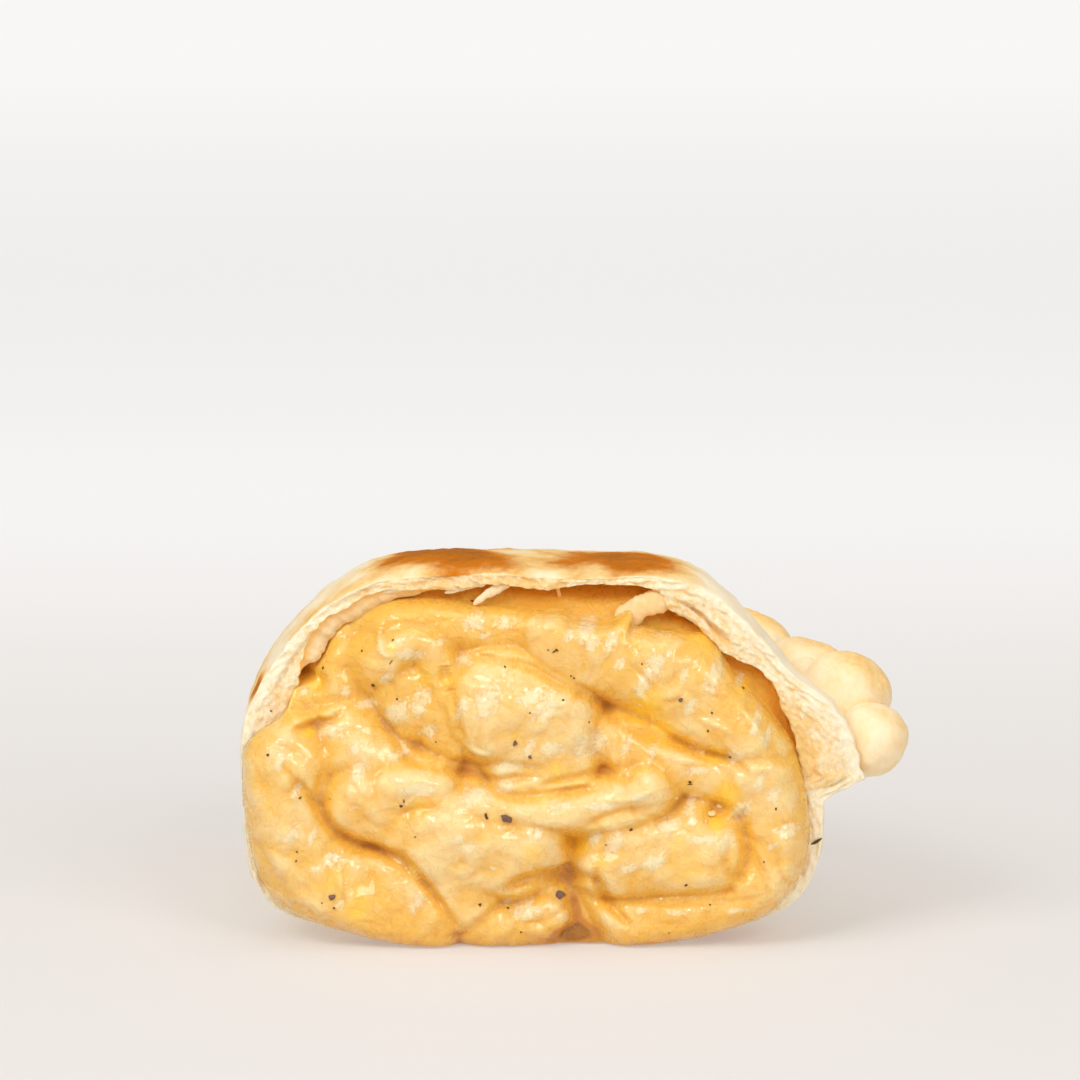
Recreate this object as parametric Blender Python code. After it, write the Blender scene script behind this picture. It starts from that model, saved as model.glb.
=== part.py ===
"""One half of a baked empanada, cut across its middle and stood on its base.

+Z is up and the cut face looks along -Y. The crust is one piece of dough: a shell with a flat base, closed at
its tip, whose seam runs round the +X side as a rope of overlapping folds. The filling is one soft mass that
runs through the shell, bulges out of the cut in lumps and folds, and sags over the crust's lower edge onto
the table.

Sizes are in millimetres in the section's frame, and mesh_of turns them into metres in the part's own frame.
In the section's frame x = 0 is the middle of the body at the cut, z = 0 is the table, and y runs back from
the cut. Angles go round the section from +X towards +Z.
"""

import math

import bmesh
import bpy
import numpy as np

MM = 0.001

# The body, without its rope edge
BODY_WIDTH = 54.0
CUT_HEIGHT = 35.0
HALF_LENGTH = 52.0
MIDDLE_HEIGHT = 18.0
BASE_SPREAD = 1.15  # how far the round underside would reach below the tray that flattened it
BASE_SOFTNESS = 0.7
TOP_FULLNESS = 2.0
BASE_FULLNESS = 2.5
SWELL_UP = 0.03  # the body is this much fuller behind the cut
SWELL_ACROSS = 0.01
SWELL_REACH = 5.0
TIP_SHIFT = 12.0  # towards the straight side
TIP_LIFT = 14.0
FLAT_SHARE = 0.6  # of its length, from the cut, the base lies flat
OUTLINE_BULGES = (  # angle, spread in degrees, extra reach
    (133.0, 21.0, 2.0),
    (45.0, 15.0, 1.6),
    (331.0, 15.0, 2.4),
    (210.0, 13.0, 2.0),
    (183.0, 22.0, 0.3),
)
LUMP_WAVELENGTH = 17.0
LUMP_DEPTH = 0.35

# The crust
CRUST_THICKNESS = 1.4
THICKER_PLACES = (  # angle, spread in degrees, extra: at the seam, and where the dough folds over
    (16.0, 20.0, 1.5),
    (40.0, 15.0, 1.4),
    (165.0, 22.0, 2.1),
)
THICKER_REACH = 30.0
TIP_THICKNESS = 2.6
TORN_DEPTH = 0.7  # how far the torn rim wanders behind the cut
TORN_WAVELENGTH = 5.0

# The rope edge along the seam
ROPE_OUT = 2.9  # from the body's side to the middle of the folds
FOLD_PITCH = 8.2
FIRST_FOLD = 7.0
FOLD_HALF_SIZE = (6.6, 4.3, 3.9)  # along the fold, outwards, upwards
FOLD_SIZES = (1.11, 1.15, 1.03, 1.0, 0.96, 1.02, 0.95, 1.0, 0.93)
FOLD_SLANT = 30.0
FOLD_RISE = 20.0
SEAM_ANGLE_AT_CUT = -0.5
SEAM_ANGLE_RISE = 26.5
SEAM_CORE = 2.9
# The sealed double layer at the cut, as corners (x, z) of its section
FLANGE_SECTION = (
    (23.0, 22.0),
    (25.0, 24.3),
    (27.9, 22.5),
    (29.2, 20.2),
    (30.4, 17.4),
    (31.1, 15.5),
    (29.7, 14.8),
    (27.8, 14.2),
    (25.4, 12.4),
    (24.0, 16.0),
)
FLANGE_LENGTH = 7.0

# The rings of points along the crust's inside and along the filling, which match so that the two stay apart
INNER_RINGS = 9
INNER_END = 0.985

# The filling
FIT_GAP = 0.5
TOP_EDGE_SETBACK = 1.6  # the filling's edge lies this far behind the cut along the top
SAG_FROM, SAG_TO = 158.0, 360.0  # degrees round the section
FORWARD_BLEND = 16.0  # over which the edge comes forward, before it spreads
SPREAD_BLEND = 24.0
LIP_REACH = 0.9  # left between the sagging lip and the crust's outside
LIP_CLEARANCE = 0.5
LIP_SLUMP = 2.4  # how much further the lip reaches under itself, along the table
TABLE_CLEARANCE = 0.15
POCKET_REACH = 17.0  # how far the air pockets run in under the crust
AIR_POCKETS = (  # angle, spread in degrees, depth
    (112.0, 17.0, 0.9),
    (77.0, 16.0, 2.1),
    (44.0, 8.0, 1.5),
    (15.0, 8.5, 1.4),
    (150.0, 12.0, 1.0),
)
FOLD_ROUNDNESS = 0.8
STEEPEST = 0.8  # share of a fold's radius from where its side runs straight down
FOLD_MELT = 0.24  # how softly one lump runs into the next
WANDER = 0.8
WANDER_WAVELENGTH = 11.0
# The lumps and folds on the cut: start, bend and end of the centre line, radius, and crest before the cut
FOLDS = {
    "upper_fold_left": ((-12.5, 29.4), (-5.0, 30.2), (2.0, 28.8), 2.9, 1.4),
    "upper_fold_right": ((3.0, 28.4), (13.5, 28.0), (20.6, 18.6), 4.5, 3.4),
    "centre_lump": ((-3.4, 22.6), (-1.0, 22.4), (1.8, 21.2), 5.0, 4.5),
    "left_curl": ((-13.8, 25.9), (-10.8, 30.9), (-7.6, 23.9), 1.9, 2.6),
    "left_curl_core": ((-11.8, 23.8), (-11.4, 23.0), (-11.0, 21.9), 2.7, 2.1),
    "curl_foot": ((-8.8, 21.6), (-8.5, 20.6), (-7.8, 19.6), 2.1, 2.3),
    "left_band": ((-18.6, 26.2), (-18.2, 23.9), (-17.6, 21.4), 3.1, 0.8),
    "left_middle_lump": ((-17.2, 19.0), (-16.0, 18.4), (-14.6, 17.4), 3.9, 3.0),
    "bright_lump": ((-12.6, 14.4), (-11.1, 14.9), (-9.6, 14.6), 2.5, 4.4),
    "shoulder_lump": ((-16.4, 13.8), (-13.6, 12.4), (-10.6, 10.6), 3.8, 3.9),
    "lower_left_fold": ((-23.6, 17.4), (-23.8, 5.4), (-10.4, 3.4), 5.2, 4.0),
    "centre_lower_lump": ((-7.6, 10.6), (-4.7, 10.4), (-1.6, 9.6), 5.5, 5.2),
    "chin_lump": ((-6.6, 6.0), (-6.1, 5.0), (-5.8, 4.0), 3.5, 4.0),
    "bottom_lump": ((-5.0, 1.9), (-1.5, 1.4), (1.6, 2.2), 2.5, 3.2),
    "under_lump": ((-1.4, 3.9), (0.4, 4.3), (2.2, 4.0), 2.8, 1.9),
    "notch_lump": ((5.6, 5.4), (5.8, 3.7), (6.2, 2.0), 1.8, 1.2),
    "middle_ridge": ((-4.7, 13.6), (3.6, 12.7), (11.0, 14.7), 1.8, 5.0),
    "right_lower_lump": ((8.6, 9.2), (12.0, 8.8), (15.6, 8.6), 4.7, 4.6),
    "right_fold": ((21.4, 15.8), (25.2, 10.0), (21.4, 5.2), 3.1, 3.6),
    "bottom_roll": ((8.6, 2.2), (15.7, 0.9), (22.4, 4.0), 2.3, 3.4),
    "middle_right_fold": ((7.5, 19.4), (12.9, 16.9), (20.0, 14.8), 2.9, 2.8),
    "right_slab": ((21.0, 23.4), (22.2, 20.4), (22.8, 17.0), 2.8, 1.8),
}
HOLLOW_LEVEL = -0.8  # the filling between the lumps, behind the cut
PITS = {  # middle, radius, depth
    "oil_pit": ((17.1, 12.6), 1.2, 2.4),
    "oil_slot": ((17.4, 17.8), 1.3, 1.3),
    "dark_notch": ((4.1, 10.0), 1.3, 2.6),
    "left_hole": ((-14.6, 24.4), 0.9, 1.2),
}

# Where the body's section stands in the part's own frame, so that the origin is under the middle of its box
BODY_X = -4.3
CUT_Y = -26.7

CRUST_COLOUR = (0.87, 0.66, 0.38)
FILLING_COLOUR = (0.90, 0.62, 0.27)


def bell(angle, middle, spread):
    """1 at one angle round the section, falling to 0 on both sides. All in degrees but the angle."""
    off = (angle - math.radians(middle) + math.pi) % (2 * math.pi) - math.pi
    return np.exp(-((off / math.radians(spread)) ** 2))


def ramp(value, low, high):
    """A smooth step from 0 at low to 1 at high."""
    share = np.clip((value - low) / (high - low), 0, 1)
    return share * share * (3 - 2 * share)


def uneven(points, wavelength, seed, waves=24):
    """A smooth uneven field of about -1 to 1, made of plane waves in seeded directions."""
    rng = np.random.default_rng(seed)
    ways = rng.normal(size=(waves, 3))
    ways /= np.linalg.norm(ways, axis=1)[:, None]
    lengths = wavelength * rng.uniform(0.75, 1.5, waves)
    phases = rng.uniform(0, 2 * math.pi, waves)
    turns = points @ (2 * math.pi * ways / lengths[:, None]).T
    return np.sin(turns + phases).sum(axis=-1) / math.sqrt(2 * waves)


def outline_reach(angle):
    """Reach of the crust's outside from the section's middle, at the cut."""
    upper = np.sin(angle) > 0
    rise = np.where(upper, CUT_HEIGHT - MIDDLE_HEIGHT, MIDDLE_HEIGHT + BASE_SPREAD)
    fullness = np.where(upper, TOP_FULLNESS, BASE_FULLNESS)
    across = np.abs(np.cos(angle)) / (BODY_WIDTH / 2)
    upwards = np.abs(np.sin(angle)) / rise
    reach = (across**fullness + upwards**fullness) ** (-1 / fullness)
    for middle, spread, extra in OUTLINE_BULGES:
        reach = reach + extra * bell(angle, middle, spread)
    return reach


def flattened(height, floor):
    """Heights pressed flat at a floor, with a soft shoulder."""
    above = height - floor
    shoulder = (above + BASE_SOFTNESS) ** 2 / (4 * BASE_SOFTNESS)
    pressed = np.where(above < -BASE_SOFTNESS, 0, shoulder)
    return floor + np.where(above > BASE_SOFTNESS, above, pressed)


def tip_shift(share):
    return -TIP_SHIFT * share**2.4


def tip_lift(share):
    return TIP_LIFT * (np.maximum(share - FLAT_SHARE, 0) / (1 - FLAT_SHARE)) ** 2


def body_points(angle, depth, inset=0.0, tip_inset=0.0, floor=0.0):
    """Points on the body's surface, or on one that lies inset under it: (n, 3) in the section's frame."""
    angle, depth, inset = np.broadcast_arrays(angle, depth, inset)
    share = np.clip(depth / (HALF_LENGTH - tip_inset), 0, 1)
    behind = 1 - np.exp(-np.maximum(depth, 0) / SWELL_REACH)
    seam_side = (1 - share**2.0) ** 0.62
    straight_side = (1 - share**2.2) ** 0.6
    wide = (1 + SWELL_ACROSS * behind) * np.where(np.cos(angle) > 0, seam_side, straight_side)
    high = (1 + SWELL_UP * behind) * (1 - share**2.6) ** 0.55
    reach = outline_reach(angle)
    across = wide * reach * np.cos(angle)
    upwards = high * reach * np.sin(angle)
    length = np.maximum(np.hypot(across, upwards), 1e-6)
    bare = np.stack([across, depth, upwards], axis=-1)
    length_wanted = length - inset + LUMP_DEPTH * wide * uneven(bare, LUMP_WAVELENGTH, 3)
    kept = np.maximum(length_wanted, 0) / length
    lift = tip_lift(share)
    middle = MIDDLE_HEIGHT * high + lift
    height = flattened(middle + upwards * kept, floor + lift)
    return np.stack([tip_shift(share) + across * kept, depth, height], axis=-1)


def crust_thickness(angle, depth):
    thick = CRUST_THICKNESS
    fade = 1 - ramp(depth, 0, THICKER_REACH)
    for middle, spread, extra in THICKER_PLACES:
        thick = thick + extra * bell(angle, middle, spread) * fade
    return thick


def air_gap(angle, depth):
    """Space between the crust and the filling under it."""
    gap = FIT_GAP
    fade = 1 - ramp(depth, 0, POCKET_REACH)
    for middle, spread, deep in AIR_POCKETS:
        gap = gap + deep * bell(angle, middle, spread) * fade
    return gap


def filling_points(angle, depth):
    """Points on the side of the filling, inside the crust."""
    inset = crust_thickness(angle, depth) + air_gap(angle, depth)
    inner_floor = CRUST_THICKNESS + FIT_GAP
    return body_points(angle, depth, inset, TIP_THICKNESS + FIT_GAP, inner_floor)


def distance_to_line(points, start, bend, end, steps=20):
    """Distance from each point to a curved centre line with one bend."""
    share = np.linspace(0, 1, steps)[:, None]
    line = (1 - share) ** 2 * np.array(start) + 2 * share * (1 - share) * np.array(bend)
    line = line + share**2 * np.array(end)
    squared = ((points[:, None, :] - line[None]) ** 2).sum(axis=-1)
    return np.sqrt(squared.min(axis=1))


def relief(points):
    """How far the filling stands before the cut at each (x, z): the lumps and folds run into each other."""
    spread_out = np.stack([points[:, 0], np.zeros(len(points)), points[:, 1]], axis=-1)
    wander = [uneven(spread_out, WANDER_WAVELENGTH, seed) for seed in (11, 12)]
    moved = points + WANDER * np.stack(wander, axis=-1)
    total = np.exp(np.full(len(points), HOLLOW_LEVEL) / FOLD_MELT)
    for start, bend, end, radius, crest in FOLDS.values():
        away = distance_to_line(moved, start, bend, end) / radius
        near = np.minimum(away, STEEPEST)
        drop = 1 - np.sqrt(1 - near**2) + (away - near) * STEEPEST / np.sqrt(1 - STEEPEST**2)
        height = crest - FOLD_ROUNDNESS * radius * drop
        total += np.exp(height / FOLD_MELT)
    level = FOLD_MELT * np.log(total)
    for middle, radius, depth in PITS.values():
        away = np.linalg.norm(points - np.array(middle), axis=1) / radius
        level = level - depth * np.exp(-(away**2))
    return level


def mesh_of(name, points, faces):
    """A mesh object in the part's frame, in metres."""
    placed = np.asarray(points, float).reshape(-1, 3) + np.array([BODY_X, CUT_Y, 0.0])
    mesh = bpy.data.meshes.new(name)
    mesh.from_pydata((placed * MM).tolist(), [], faces)
    mesh.validate()
    made = bpy.data.objects.new(name, mesh)
    bpy.context.scene.collection.objects.link(made)
    return made


def closed_tube(rings):
    """Faces for rings of equal length, closed at both ends by a fan round one more point each."""
    count, around = rings.shape[:2]
    first, last = count * around, count * around + 1
    faces = []
    for row in range(count - 1):
        for step in range(around):
            after = (step + 1) % around
            low, high = row * around, (row + 1) * around
            faces.append((low + step, low + after, high + after, high + step))
    for step in range(around):
        after = (step + 1) % around
        end = (count - 1) * around
        faces.append((first, after, step))
        faces.append((last, end + step, end + after))
    middles = [rings[0].mean(axis=0), rings[-1].mean(axis=0)]
    return np.concatenate([rings.reshape(-1, 3), middles]), faces


def shell(name, around, depths, inset=0.0, tip_inset=0.0, floor=0.0):
    """The body's closed surface from the first depth to the tip, or one that lies inset under it."""
    angle = np.linspace(0, 2 * math.pi, around, endpoint=False)[None, :]
    depth = np.asarray(depths)[:, None]
    thick = inset * crust_thickness(angle, depth)
    rings = body_points(angle, depth, thick, tip_inset, floor)
    return mesh_of(name, *closed_tube(rings[:, ::-1]))


def depths_to_tip(start, length, count, last):
    """Depths that crowd towards the rounded tip, up to the last share of the length."""
    turn = np.linspace(0, math.pi / 2, count + 1)[:-1]
    return np.concatenate([start, length * np.sin(turn)[1:], [length * last]])


def seam_line(steps=200):
    """The rope's centre line from the cut round to the tip, with its outward directions in plan."""
    share = np.sin(np.linspace(0, math.radians(89.0), steps))
    angle = np.radians(SEAM_ANGLE_AT_CUT + SEAM_ANGLE_RISE * share)
    edge = body_points(angle, share * HALF_LENGTH)
    along = np.gradient(edge, axis=0)
    outward = np.stack([along[:, 1], -along[:, 0], np.zeros(steps)], axis=-1)
    outward /= np.linalg.norm(outward, axis=1)[:, None]
    return edge + ROPE_OUT * outward, outward


def pillow(name, middle, axes, half_size, segments=18, rings=11, fullness=2.3):
    """A plump rounded lump with its three axes given as columns."""
    turn = np.linspace(0, 2 * math.pi, segments, endpoint=False)[None, :]
    tilt = np.linspace(-math.pi / 2, math.pi / 2, rings + 1)[1:-1, None]
    way = np.stack(
        [np.cos(tilt) * np.cos(turn), np.cos(tilt) * np.sin(turn), np.sin(tilt) + 0 * turn],
        axis=-1,
    )
    way /= (np.abs(way) ** fullness).sum(axis=-1, keepdims=True) ** (1 / fullness)
    points, faces = closed_tube(way)
    points[-2:] = [[0, 0, -1], [0, 0, 1]]
    placed = (points * np.array(half_size)) @ np.array(axes).T + np.array(middle)
    return mesh_of(name, placed, faces)


def turned(axis_from, axis_to, degrees):
    """axis_from turned towards axis_to."""
    angle = math.radians(degrees)
    return math.cos(angle) * axis_from + math.sin(angle) * axis_to


def rope_folds():
    """The overlapping folds of the sealed edge, one lump for each, and the core that they wrap."""
    line, outward = seam_line()
    walked = np.concatenate([[0], np.cumsum(np.linalg.norm(np.diff(line, axis=0), axis=1))])
    rng = np.random.default_rng(5)
    up = np.array([0.0, 0.0, 1.0])
    folds = []
    for number, size in enumerate(FOLD_SIZES):
        place = min(FIRST_FOLD + FOLD_PITCH * number, walked[-1])
        index = min(int(np.searchsorted(walked, place)), len(walked) - 1)
        out = outward[index]
        back = np.cross(up, out)
        slant = FOLD_SLANT + rng.uniform(-5, 5)
        long_axis = turned(turned(back, -out, slant), up, FOLD_RISE)
        side_axis = turned(out, back, slant)
        third_axis = np.cross(long_axis, side_axis)
        axes = np.stack([long_axis, side_axis, third_axis], axis=1)
        half_size = size * np.array(FOLD_HALF_SIZE)
        folds.append(pillow(f"fold_{number}", line[index], axes, half_size))
    return folds, seam_core(line)


def seam_core(line, around=10):
    """The rolled dough under the folds, from just behind the cut to the tip."""
    kept = line[6::8]
    along = np.gradient(kept, axis=0)
    along /= np.linalg.norm(along, axis=1)[:, None]
    side = np.cross(along, [0.0, 0.0, 1.0])
    side /= np.linalg.norm(side, axis=1)[:, None]
    upward = np.cross(side, along)
    turn = np.linspace(0, 2 * math.pi, around, endpoint=False)
    round_it = np.cos(turn)[:, None] * side[:, None] - np.sin(turn)[:, None] * upward[:, None]
    return mesh_of("seam_core", *closed_tube(kept[:, None] + SEAM_CORE * round_it))


def seam_flange():
    """The sealed double layer where the knife went through, thinning out towards the first fold."""
    section = np.array(FLANGE_SECTION)
    middle = section.mean(axis=0)
    rings = []
    for depth, size in ((-4.0, 1.0), (0.0, 1.0), (0.5 * FLANGE_LENGTH, 0.86), (FLANGE_LENGTH, 0.6)):
        flat = middle + size * (section - middle)
        ring = [(x, depth, z) for x, z in flat]
        rings.append(ring)
    return mesh_of("seam_flange", *closed_tube(np.array(rings)))


def torn_cutter(size=44.0, count=44):
    """A block in front of the cut whose back is as uneven as torn pastry."""
    line = np.linspace(-size, size, count + 1)
    x, z = np.meshgrid(line, line + MIDDLE_HEIGHT, indexing="ij")
    flat = np.stack([x, np.zeros_like(x), z], axis=-1).reshape(-1, 3)
    back = TORN_DEPTH * (0.5 + 0.5 * uneven(flat, TORN_WAVELENGTH, 8))
    back = np.clip(back, 0, TORN_DEPTH).reshape(x.shape)
    layers = [np.stack([x, deep + 0 * x, z], axis=-1) for deep in (-30.0, back)]
    return mesh_of("torn_cutter", *closed_slab(*layers))


def closed_slab(front, back):
    """Points and faces of a block between two square grids of points."""
    rows, columns = front.shape[:2]
    size = rows * columns
    index = np.arange(size).reshape(rows, columns)
    cells = np.stack([index[:-1, :-1], index[1:, :-1], index[1:, 1:], index[:-1, 1:]], axis=-1)
    cells = cells.reshape(-1, 4)
    rim = np.concatenate([index[:-1, 0], index[-1, :-1], index[:0:-1, -1], index[0, :0:-1]])
    after = np.roll(rim, -1)
    sides = np.stack([after, rim, rim + size, after + size], axis=-1)
    faces = np.concatenate([cells, cells[:, ::-1] + size, sides])
    return np.concatenate([front.reshape(-1, 3), back.reshape(-1, 3)]), faces.tolist()


def apply_modifiers(target):
    """Bakes what the modifiers made into the object's mesh."""
    graph = bpy.context.evaluated_depsgraph_get()
    target.data = bpy.data.meshes.new_from_object(target.evaluated_get(graph))
    target.modifiers.clear()


def boolean(target, operation, others):
    """Joins or cuts, with closed lumps and cutters that are then removed."""
    group = bpy.data.collections.new("others")
    bpy.context.scene.collection.children.link(group)
    for other in others:
        bpy.context.scene.collection.objects.unlink(other)
        group.objects.link(other)
    change = target.modifiers.new("change", "BOOLEAN")
    change.operation = operation
    change.operand_type = "COLLECTION"
    change.collection = group
    change.solver = "MANIFOLD"
    apply_modifiers(target)
    for other in others:
        bpy.data.objects.remove(other)
    bpy.data.collections.remove(group)


def keep_main_surface(target):
    """Keeps the largest closed surface, which drops loose scraps and fills spaces that joining sealed off."""
    work = bmesh.new()
    work.from_mesh(target.data)
    needless = [corner for corner in work.verts if len(corner.link_edges) == 2]
    bmesh.ops.dissolve_verts(work, verts=needless)
    surfaces = []
    unseen = set(work.faces)
    while unseen:
        waiting = [unseen.pop()]
        surface = []
        while waiting:
            face = waiting.pop()
            surface.append(face)
            beside = {other for edge in face.edges for other in edge.link_faces} & unseen
            unseen -= beside
            waiting += beside
        surfaces.append(surface)
    surfaces.sort(key=lambda surface: sum(face.calc_area() for face in surface))
    for scrap in surfaces[:-1]:
        bmesh.ops.delete(work, geom=scrap, context="FACES")
    work.to_mesh(target.data)
    work.free()


def thin_out(target, share):
    """Fewer faces, with the shape kept."""
    fewer = target.modifiers.new("fewer", "DECIMATE")
    fewer.ratio = share
    apply_modifiers(target)


def material(name, colour, roughness):
    made = bpy.data.materials.new(name)
    made.use_nodes = True
    finish = made.node_tree.nodes["Principled BSDF"]
    finish.inputs["Base Color"].default_value = (*colour, 1.0)
    finish.inputs["Roughness"].default_value = roughness
    finish.inputs["Metallic"].default_value = 0.0
    return made


def finish(target, look):
    target.data.materials.clear()
    target.data.materials.append(look)
    target.data.shade_smooth()
    target.data.set_sharp_from_angle(angle=math.radians(50))


def make_crust():
    """The dough: body and rope edge joined, hollowed for the filling and torn along the cut."""
    crust = shell("crust", 84, depths_to_tip([-4.0], HALF_LENGTH, 20, 0.997))
    folds, core = rope_folds()
    boolean(crust, "UNION", [core, *folds, seam_flange()])
    depths = depths_to_tip([-6.0, 2.6], HALF_LENGTH - TIP_THICKNESS, INNER_RINGS, INNER_END)
    hollow = shell("hollow", 84, depths, 1.0, TIP_THICKNESS, CRUST_THICKNESS)
    boolean(crust, "DIFFERENCE", [hollow, torn_cutter()])
    keep_main_surface(crust)
    thin_out(crust, 0.62)
    finish(crust, material("baked_crust", CRUST_COLOUR, 0.65))


def face_grid(count):
    """A square grid laid over the unit disc: the reach and the angle of each point."""
    line = np.linspace(-1, 1, count + 1)
    a, b = np.meshgrid(line, line, indexing="ij")
    u, v = a * np.sqrt(1 - b * b / 2), b * np.sqrt(1 - a * a / 2)
    return np.hypot(u, v), np.arctan2(v, u)


def sagging(angle, start, blend):
    """1 where the edge hangs over the crust, rising over a blend that starts some degrees inside the sag."""
    turn = np.degrees(angle) % 360
    left = ramp(turn, SAG_FROM + start, SAG_FROM + start + blend)
    return left * (1 - ramp(turn, SAG_TO - start - blend, SAG_TO - start))


def lip(angle):
    """Reach and depth of the filling's edge round the cut: set back along the top, sagging out below."""
    inside = filling_points(angle, 0 * angle) - [0, 0, MIDDLE_HEIGHT]
    tucked = np.hypot(inside[:, 0], inside[:, 2])
    hanging = outline_reach(angle) - LIP_REACH + LIP_SLUMP * bell(angle, 270, 28)
    forward = sagging(angle, 0, FORWARD_BLEND)
    spread = sagging(angle, FORWARD_BLEND - 2, SPREAD_BLEND)
    depth = (1 - forward) * TOP_EDGE_SETBACK - forward * LIP_CLEARANCE
    return tucked + spread * np.maximum(hanging - tucked, 0), depth


def filling_face(count):
    """The cut face of the filling as a square grid of points."""
    share, angle = face_grid(count)
    shape = share.shape
    share, angle = share.ravel(), angle.ravel()
    reach, edge = lip(angle)
    x = share * reach * np.cos(angle)
    z = flattened(MIDDLE_HEIGHT + share * reach * np.sin(angle), TABLE_CLEARANCE)
    turn = np.clip((share - 0.9) / 0.1, 0, 1)
    forward = np.maximum(relief(np.stack([x, z], axis=-1)) + edge, 0.2)
    y = edge - forward * np.sqrt(1 - turn**2)
    return np.stack([x, y, z], axis=-1).reshape(*shape, 3), angle.reshape(shape)


def make_filling(count=64):
    """The soft mass: its lumpy face, the neck behind the lip, and the sides that run in to the tip."""
    face, angle = filling_face(count)
    size = count + 1
    index = np.arange(size * size).reshape(size, size)
    rim = np.concatenate([index[:-1, 0], index[-1, :-1], index[:0:-1, -1], index[0, :0:-1]])
    around = angle.ravel()[rim]
    _, edge = lip(around)
    length = HALF_LENGTH - TIP_THICKNESS - FIT_GAP
    depths = depths_to_tip([2.6], length, INNER_RINGS, INNER_END)
    rings = np.stack([filling_points(around, depth) for depth in (edge + 0.05, *depths)])
    cells = np.stack([index[:-1, :-1], index[1:, :-1], index[1:, 1:], index[:-1, 1:]], axis=-1)
    faces = cells.reshape(-1, 4).tolist()
    rows = [rim] + [size * size + row * len(rim) + np.arange(len(rim)) for row in range(len(rings))]
    for near, far in zip(rows[:-1], rows[1:]):
        sides = np.stack([np.roll(near, -1), near, far, np.roll(far, -1)], axis=-1)
        faces += sides.tolist()
    end = size * size + rings.shape[0] * len(rim)
    last = rows[-1]
    faces += np.stack([np.roll(last, -1), last, np.full(len(last), end)], axis=-1).tolist()
    points = np.concatenate([face.reshape(-1, 3), rings.reshape(-1, 3), [rings[-1].mean(axis=0)]])
    filling = mesh_of("filling", points, faces)
    thin_out(filling, 0.55)
    finish(filling, material("creamy_filling", FILLING_COLOUR, 0.35))


def main():
    for old in list(bpy.data.objects):
        bpy.data.objects.remove(old)
    make_crust()
    make_filling()


main()
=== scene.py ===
"""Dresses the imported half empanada: browned dough, rope edge, creamy filling, specks, table and light.

The file is laid out as a Blender add-on and runs as a script: main() registers the classes and calls the
operators in order. Sizes are in millimetres in the section's frame, as in the part: x = 0 is the middle of
the body at the cut, z = 0 is the table, y runs back from the cut, and angles go round the section from +X
towards +Z. mesh_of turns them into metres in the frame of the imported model.
"""

import math

import bpy
import numpy as np
from bpy.props import FloatProperty, FloatVectorProperty, PointerProperty
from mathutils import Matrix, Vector
from mathutils.bvhtree import BVHTree


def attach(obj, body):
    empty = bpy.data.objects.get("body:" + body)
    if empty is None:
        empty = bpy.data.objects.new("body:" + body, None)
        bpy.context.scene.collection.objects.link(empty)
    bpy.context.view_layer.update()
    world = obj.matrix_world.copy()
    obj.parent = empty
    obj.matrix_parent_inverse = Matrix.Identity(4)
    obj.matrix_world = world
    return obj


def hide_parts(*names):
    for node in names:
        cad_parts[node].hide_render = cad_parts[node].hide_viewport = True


bl_info = {
    "name": "Half empanada",
    "version": (1, 0, 0),
    "blender": (4, 5, 0),
    "location": "3D View > Sidebar > Empanada",
    "description": "Dresses the packed half empanada and sets up its table, light and camera",
    "category": "Object",
}

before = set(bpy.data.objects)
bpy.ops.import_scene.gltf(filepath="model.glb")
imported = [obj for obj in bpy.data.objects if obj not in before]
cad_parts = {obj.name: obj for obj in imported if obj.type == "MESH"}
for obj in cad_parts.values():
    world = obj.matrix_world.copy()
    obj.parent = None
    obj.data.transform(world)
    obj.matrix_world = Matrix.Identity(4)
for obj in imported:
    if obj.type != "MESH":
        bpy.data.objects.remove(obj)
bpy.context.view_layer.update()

MM = 0.001
BLACK = (0.0, 0.0, 0.0)
BODY_X = -4.3
CUT_Y = -26.7

# The body, as in the part
BODY_WIDTH = 54.0
CUT_HEIGHT = 35.0
HALF_LENGTH = 52.0
MIDDLE_HEIGHT = 18.0
BASE_SPREAD = 1.15
BASE_SOFTNESS = 0.7
TOP_FULLNESS = 2.0
BASE_FULLNESS = 2.5
SWELL_UP = 0.03
SWELL_ACROSS = 0.01
SWELL_REACH = 5.0
TIP_SHIFT, TIP_SHIFT_POWER = 12.0, 2.4
TIP_LIFT = 14.0
FLAT_SHARE = 0.6
SEAM_SIDE_TAPER = (2.0, 0.62)  # the two powers in the body's taper towards its tip
STRAIGHT_SIDE_TAPER = (2.2, 0.6)
HEIGHT_TAPER = (2.6, 0.55)
OUTLINE_BULGES = (  # angle, spread in degrees, extra reach
    (133, 21, 2),
    (45, 17, 1.95),
    (331, 15, 2.4),
    (210, 13, 2),
    (183, 22, 0.3),
)
LUMP_WAVELENGTH = 17.0
LUMP_DEPTH = 0.35

# The dough's thickness behind the cut and at it: degrees round the section, mm
CRUST_THICKNESS = 1.4
DOUGH_AT_CUT = (
    (0, 2.3), (5, 2.6), (10, 2.6), (16, 2.1), (21, 2.2), (25, 3), (28, 3.7), (42, 3.5),
    (46.5, 3.4), (49.5, 2.4), (52, 1.6), (58, 1.2), (64, 0.95), (74, 0.85), (84, 1.25),
    (106, 1.25), (117, 2), (126, 1.9), (133, 1.1), (142, 1.1), (147, 0.8), (156, 1.8),
    (163, 3), (168, 3.6), (172, 4), (176, 3.2), (181, 1.7), (190, 1.4), (345, 1.4),
    (354, 1.9),
)
THICKER_REACH = 30.0
TIP_THICKNESS = 2.6
SOFT_BENDS = (-1.2, -0.6, 0.0, 0.6, 1.2)  # degrees over which such a row of sizes is evened out

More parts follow.
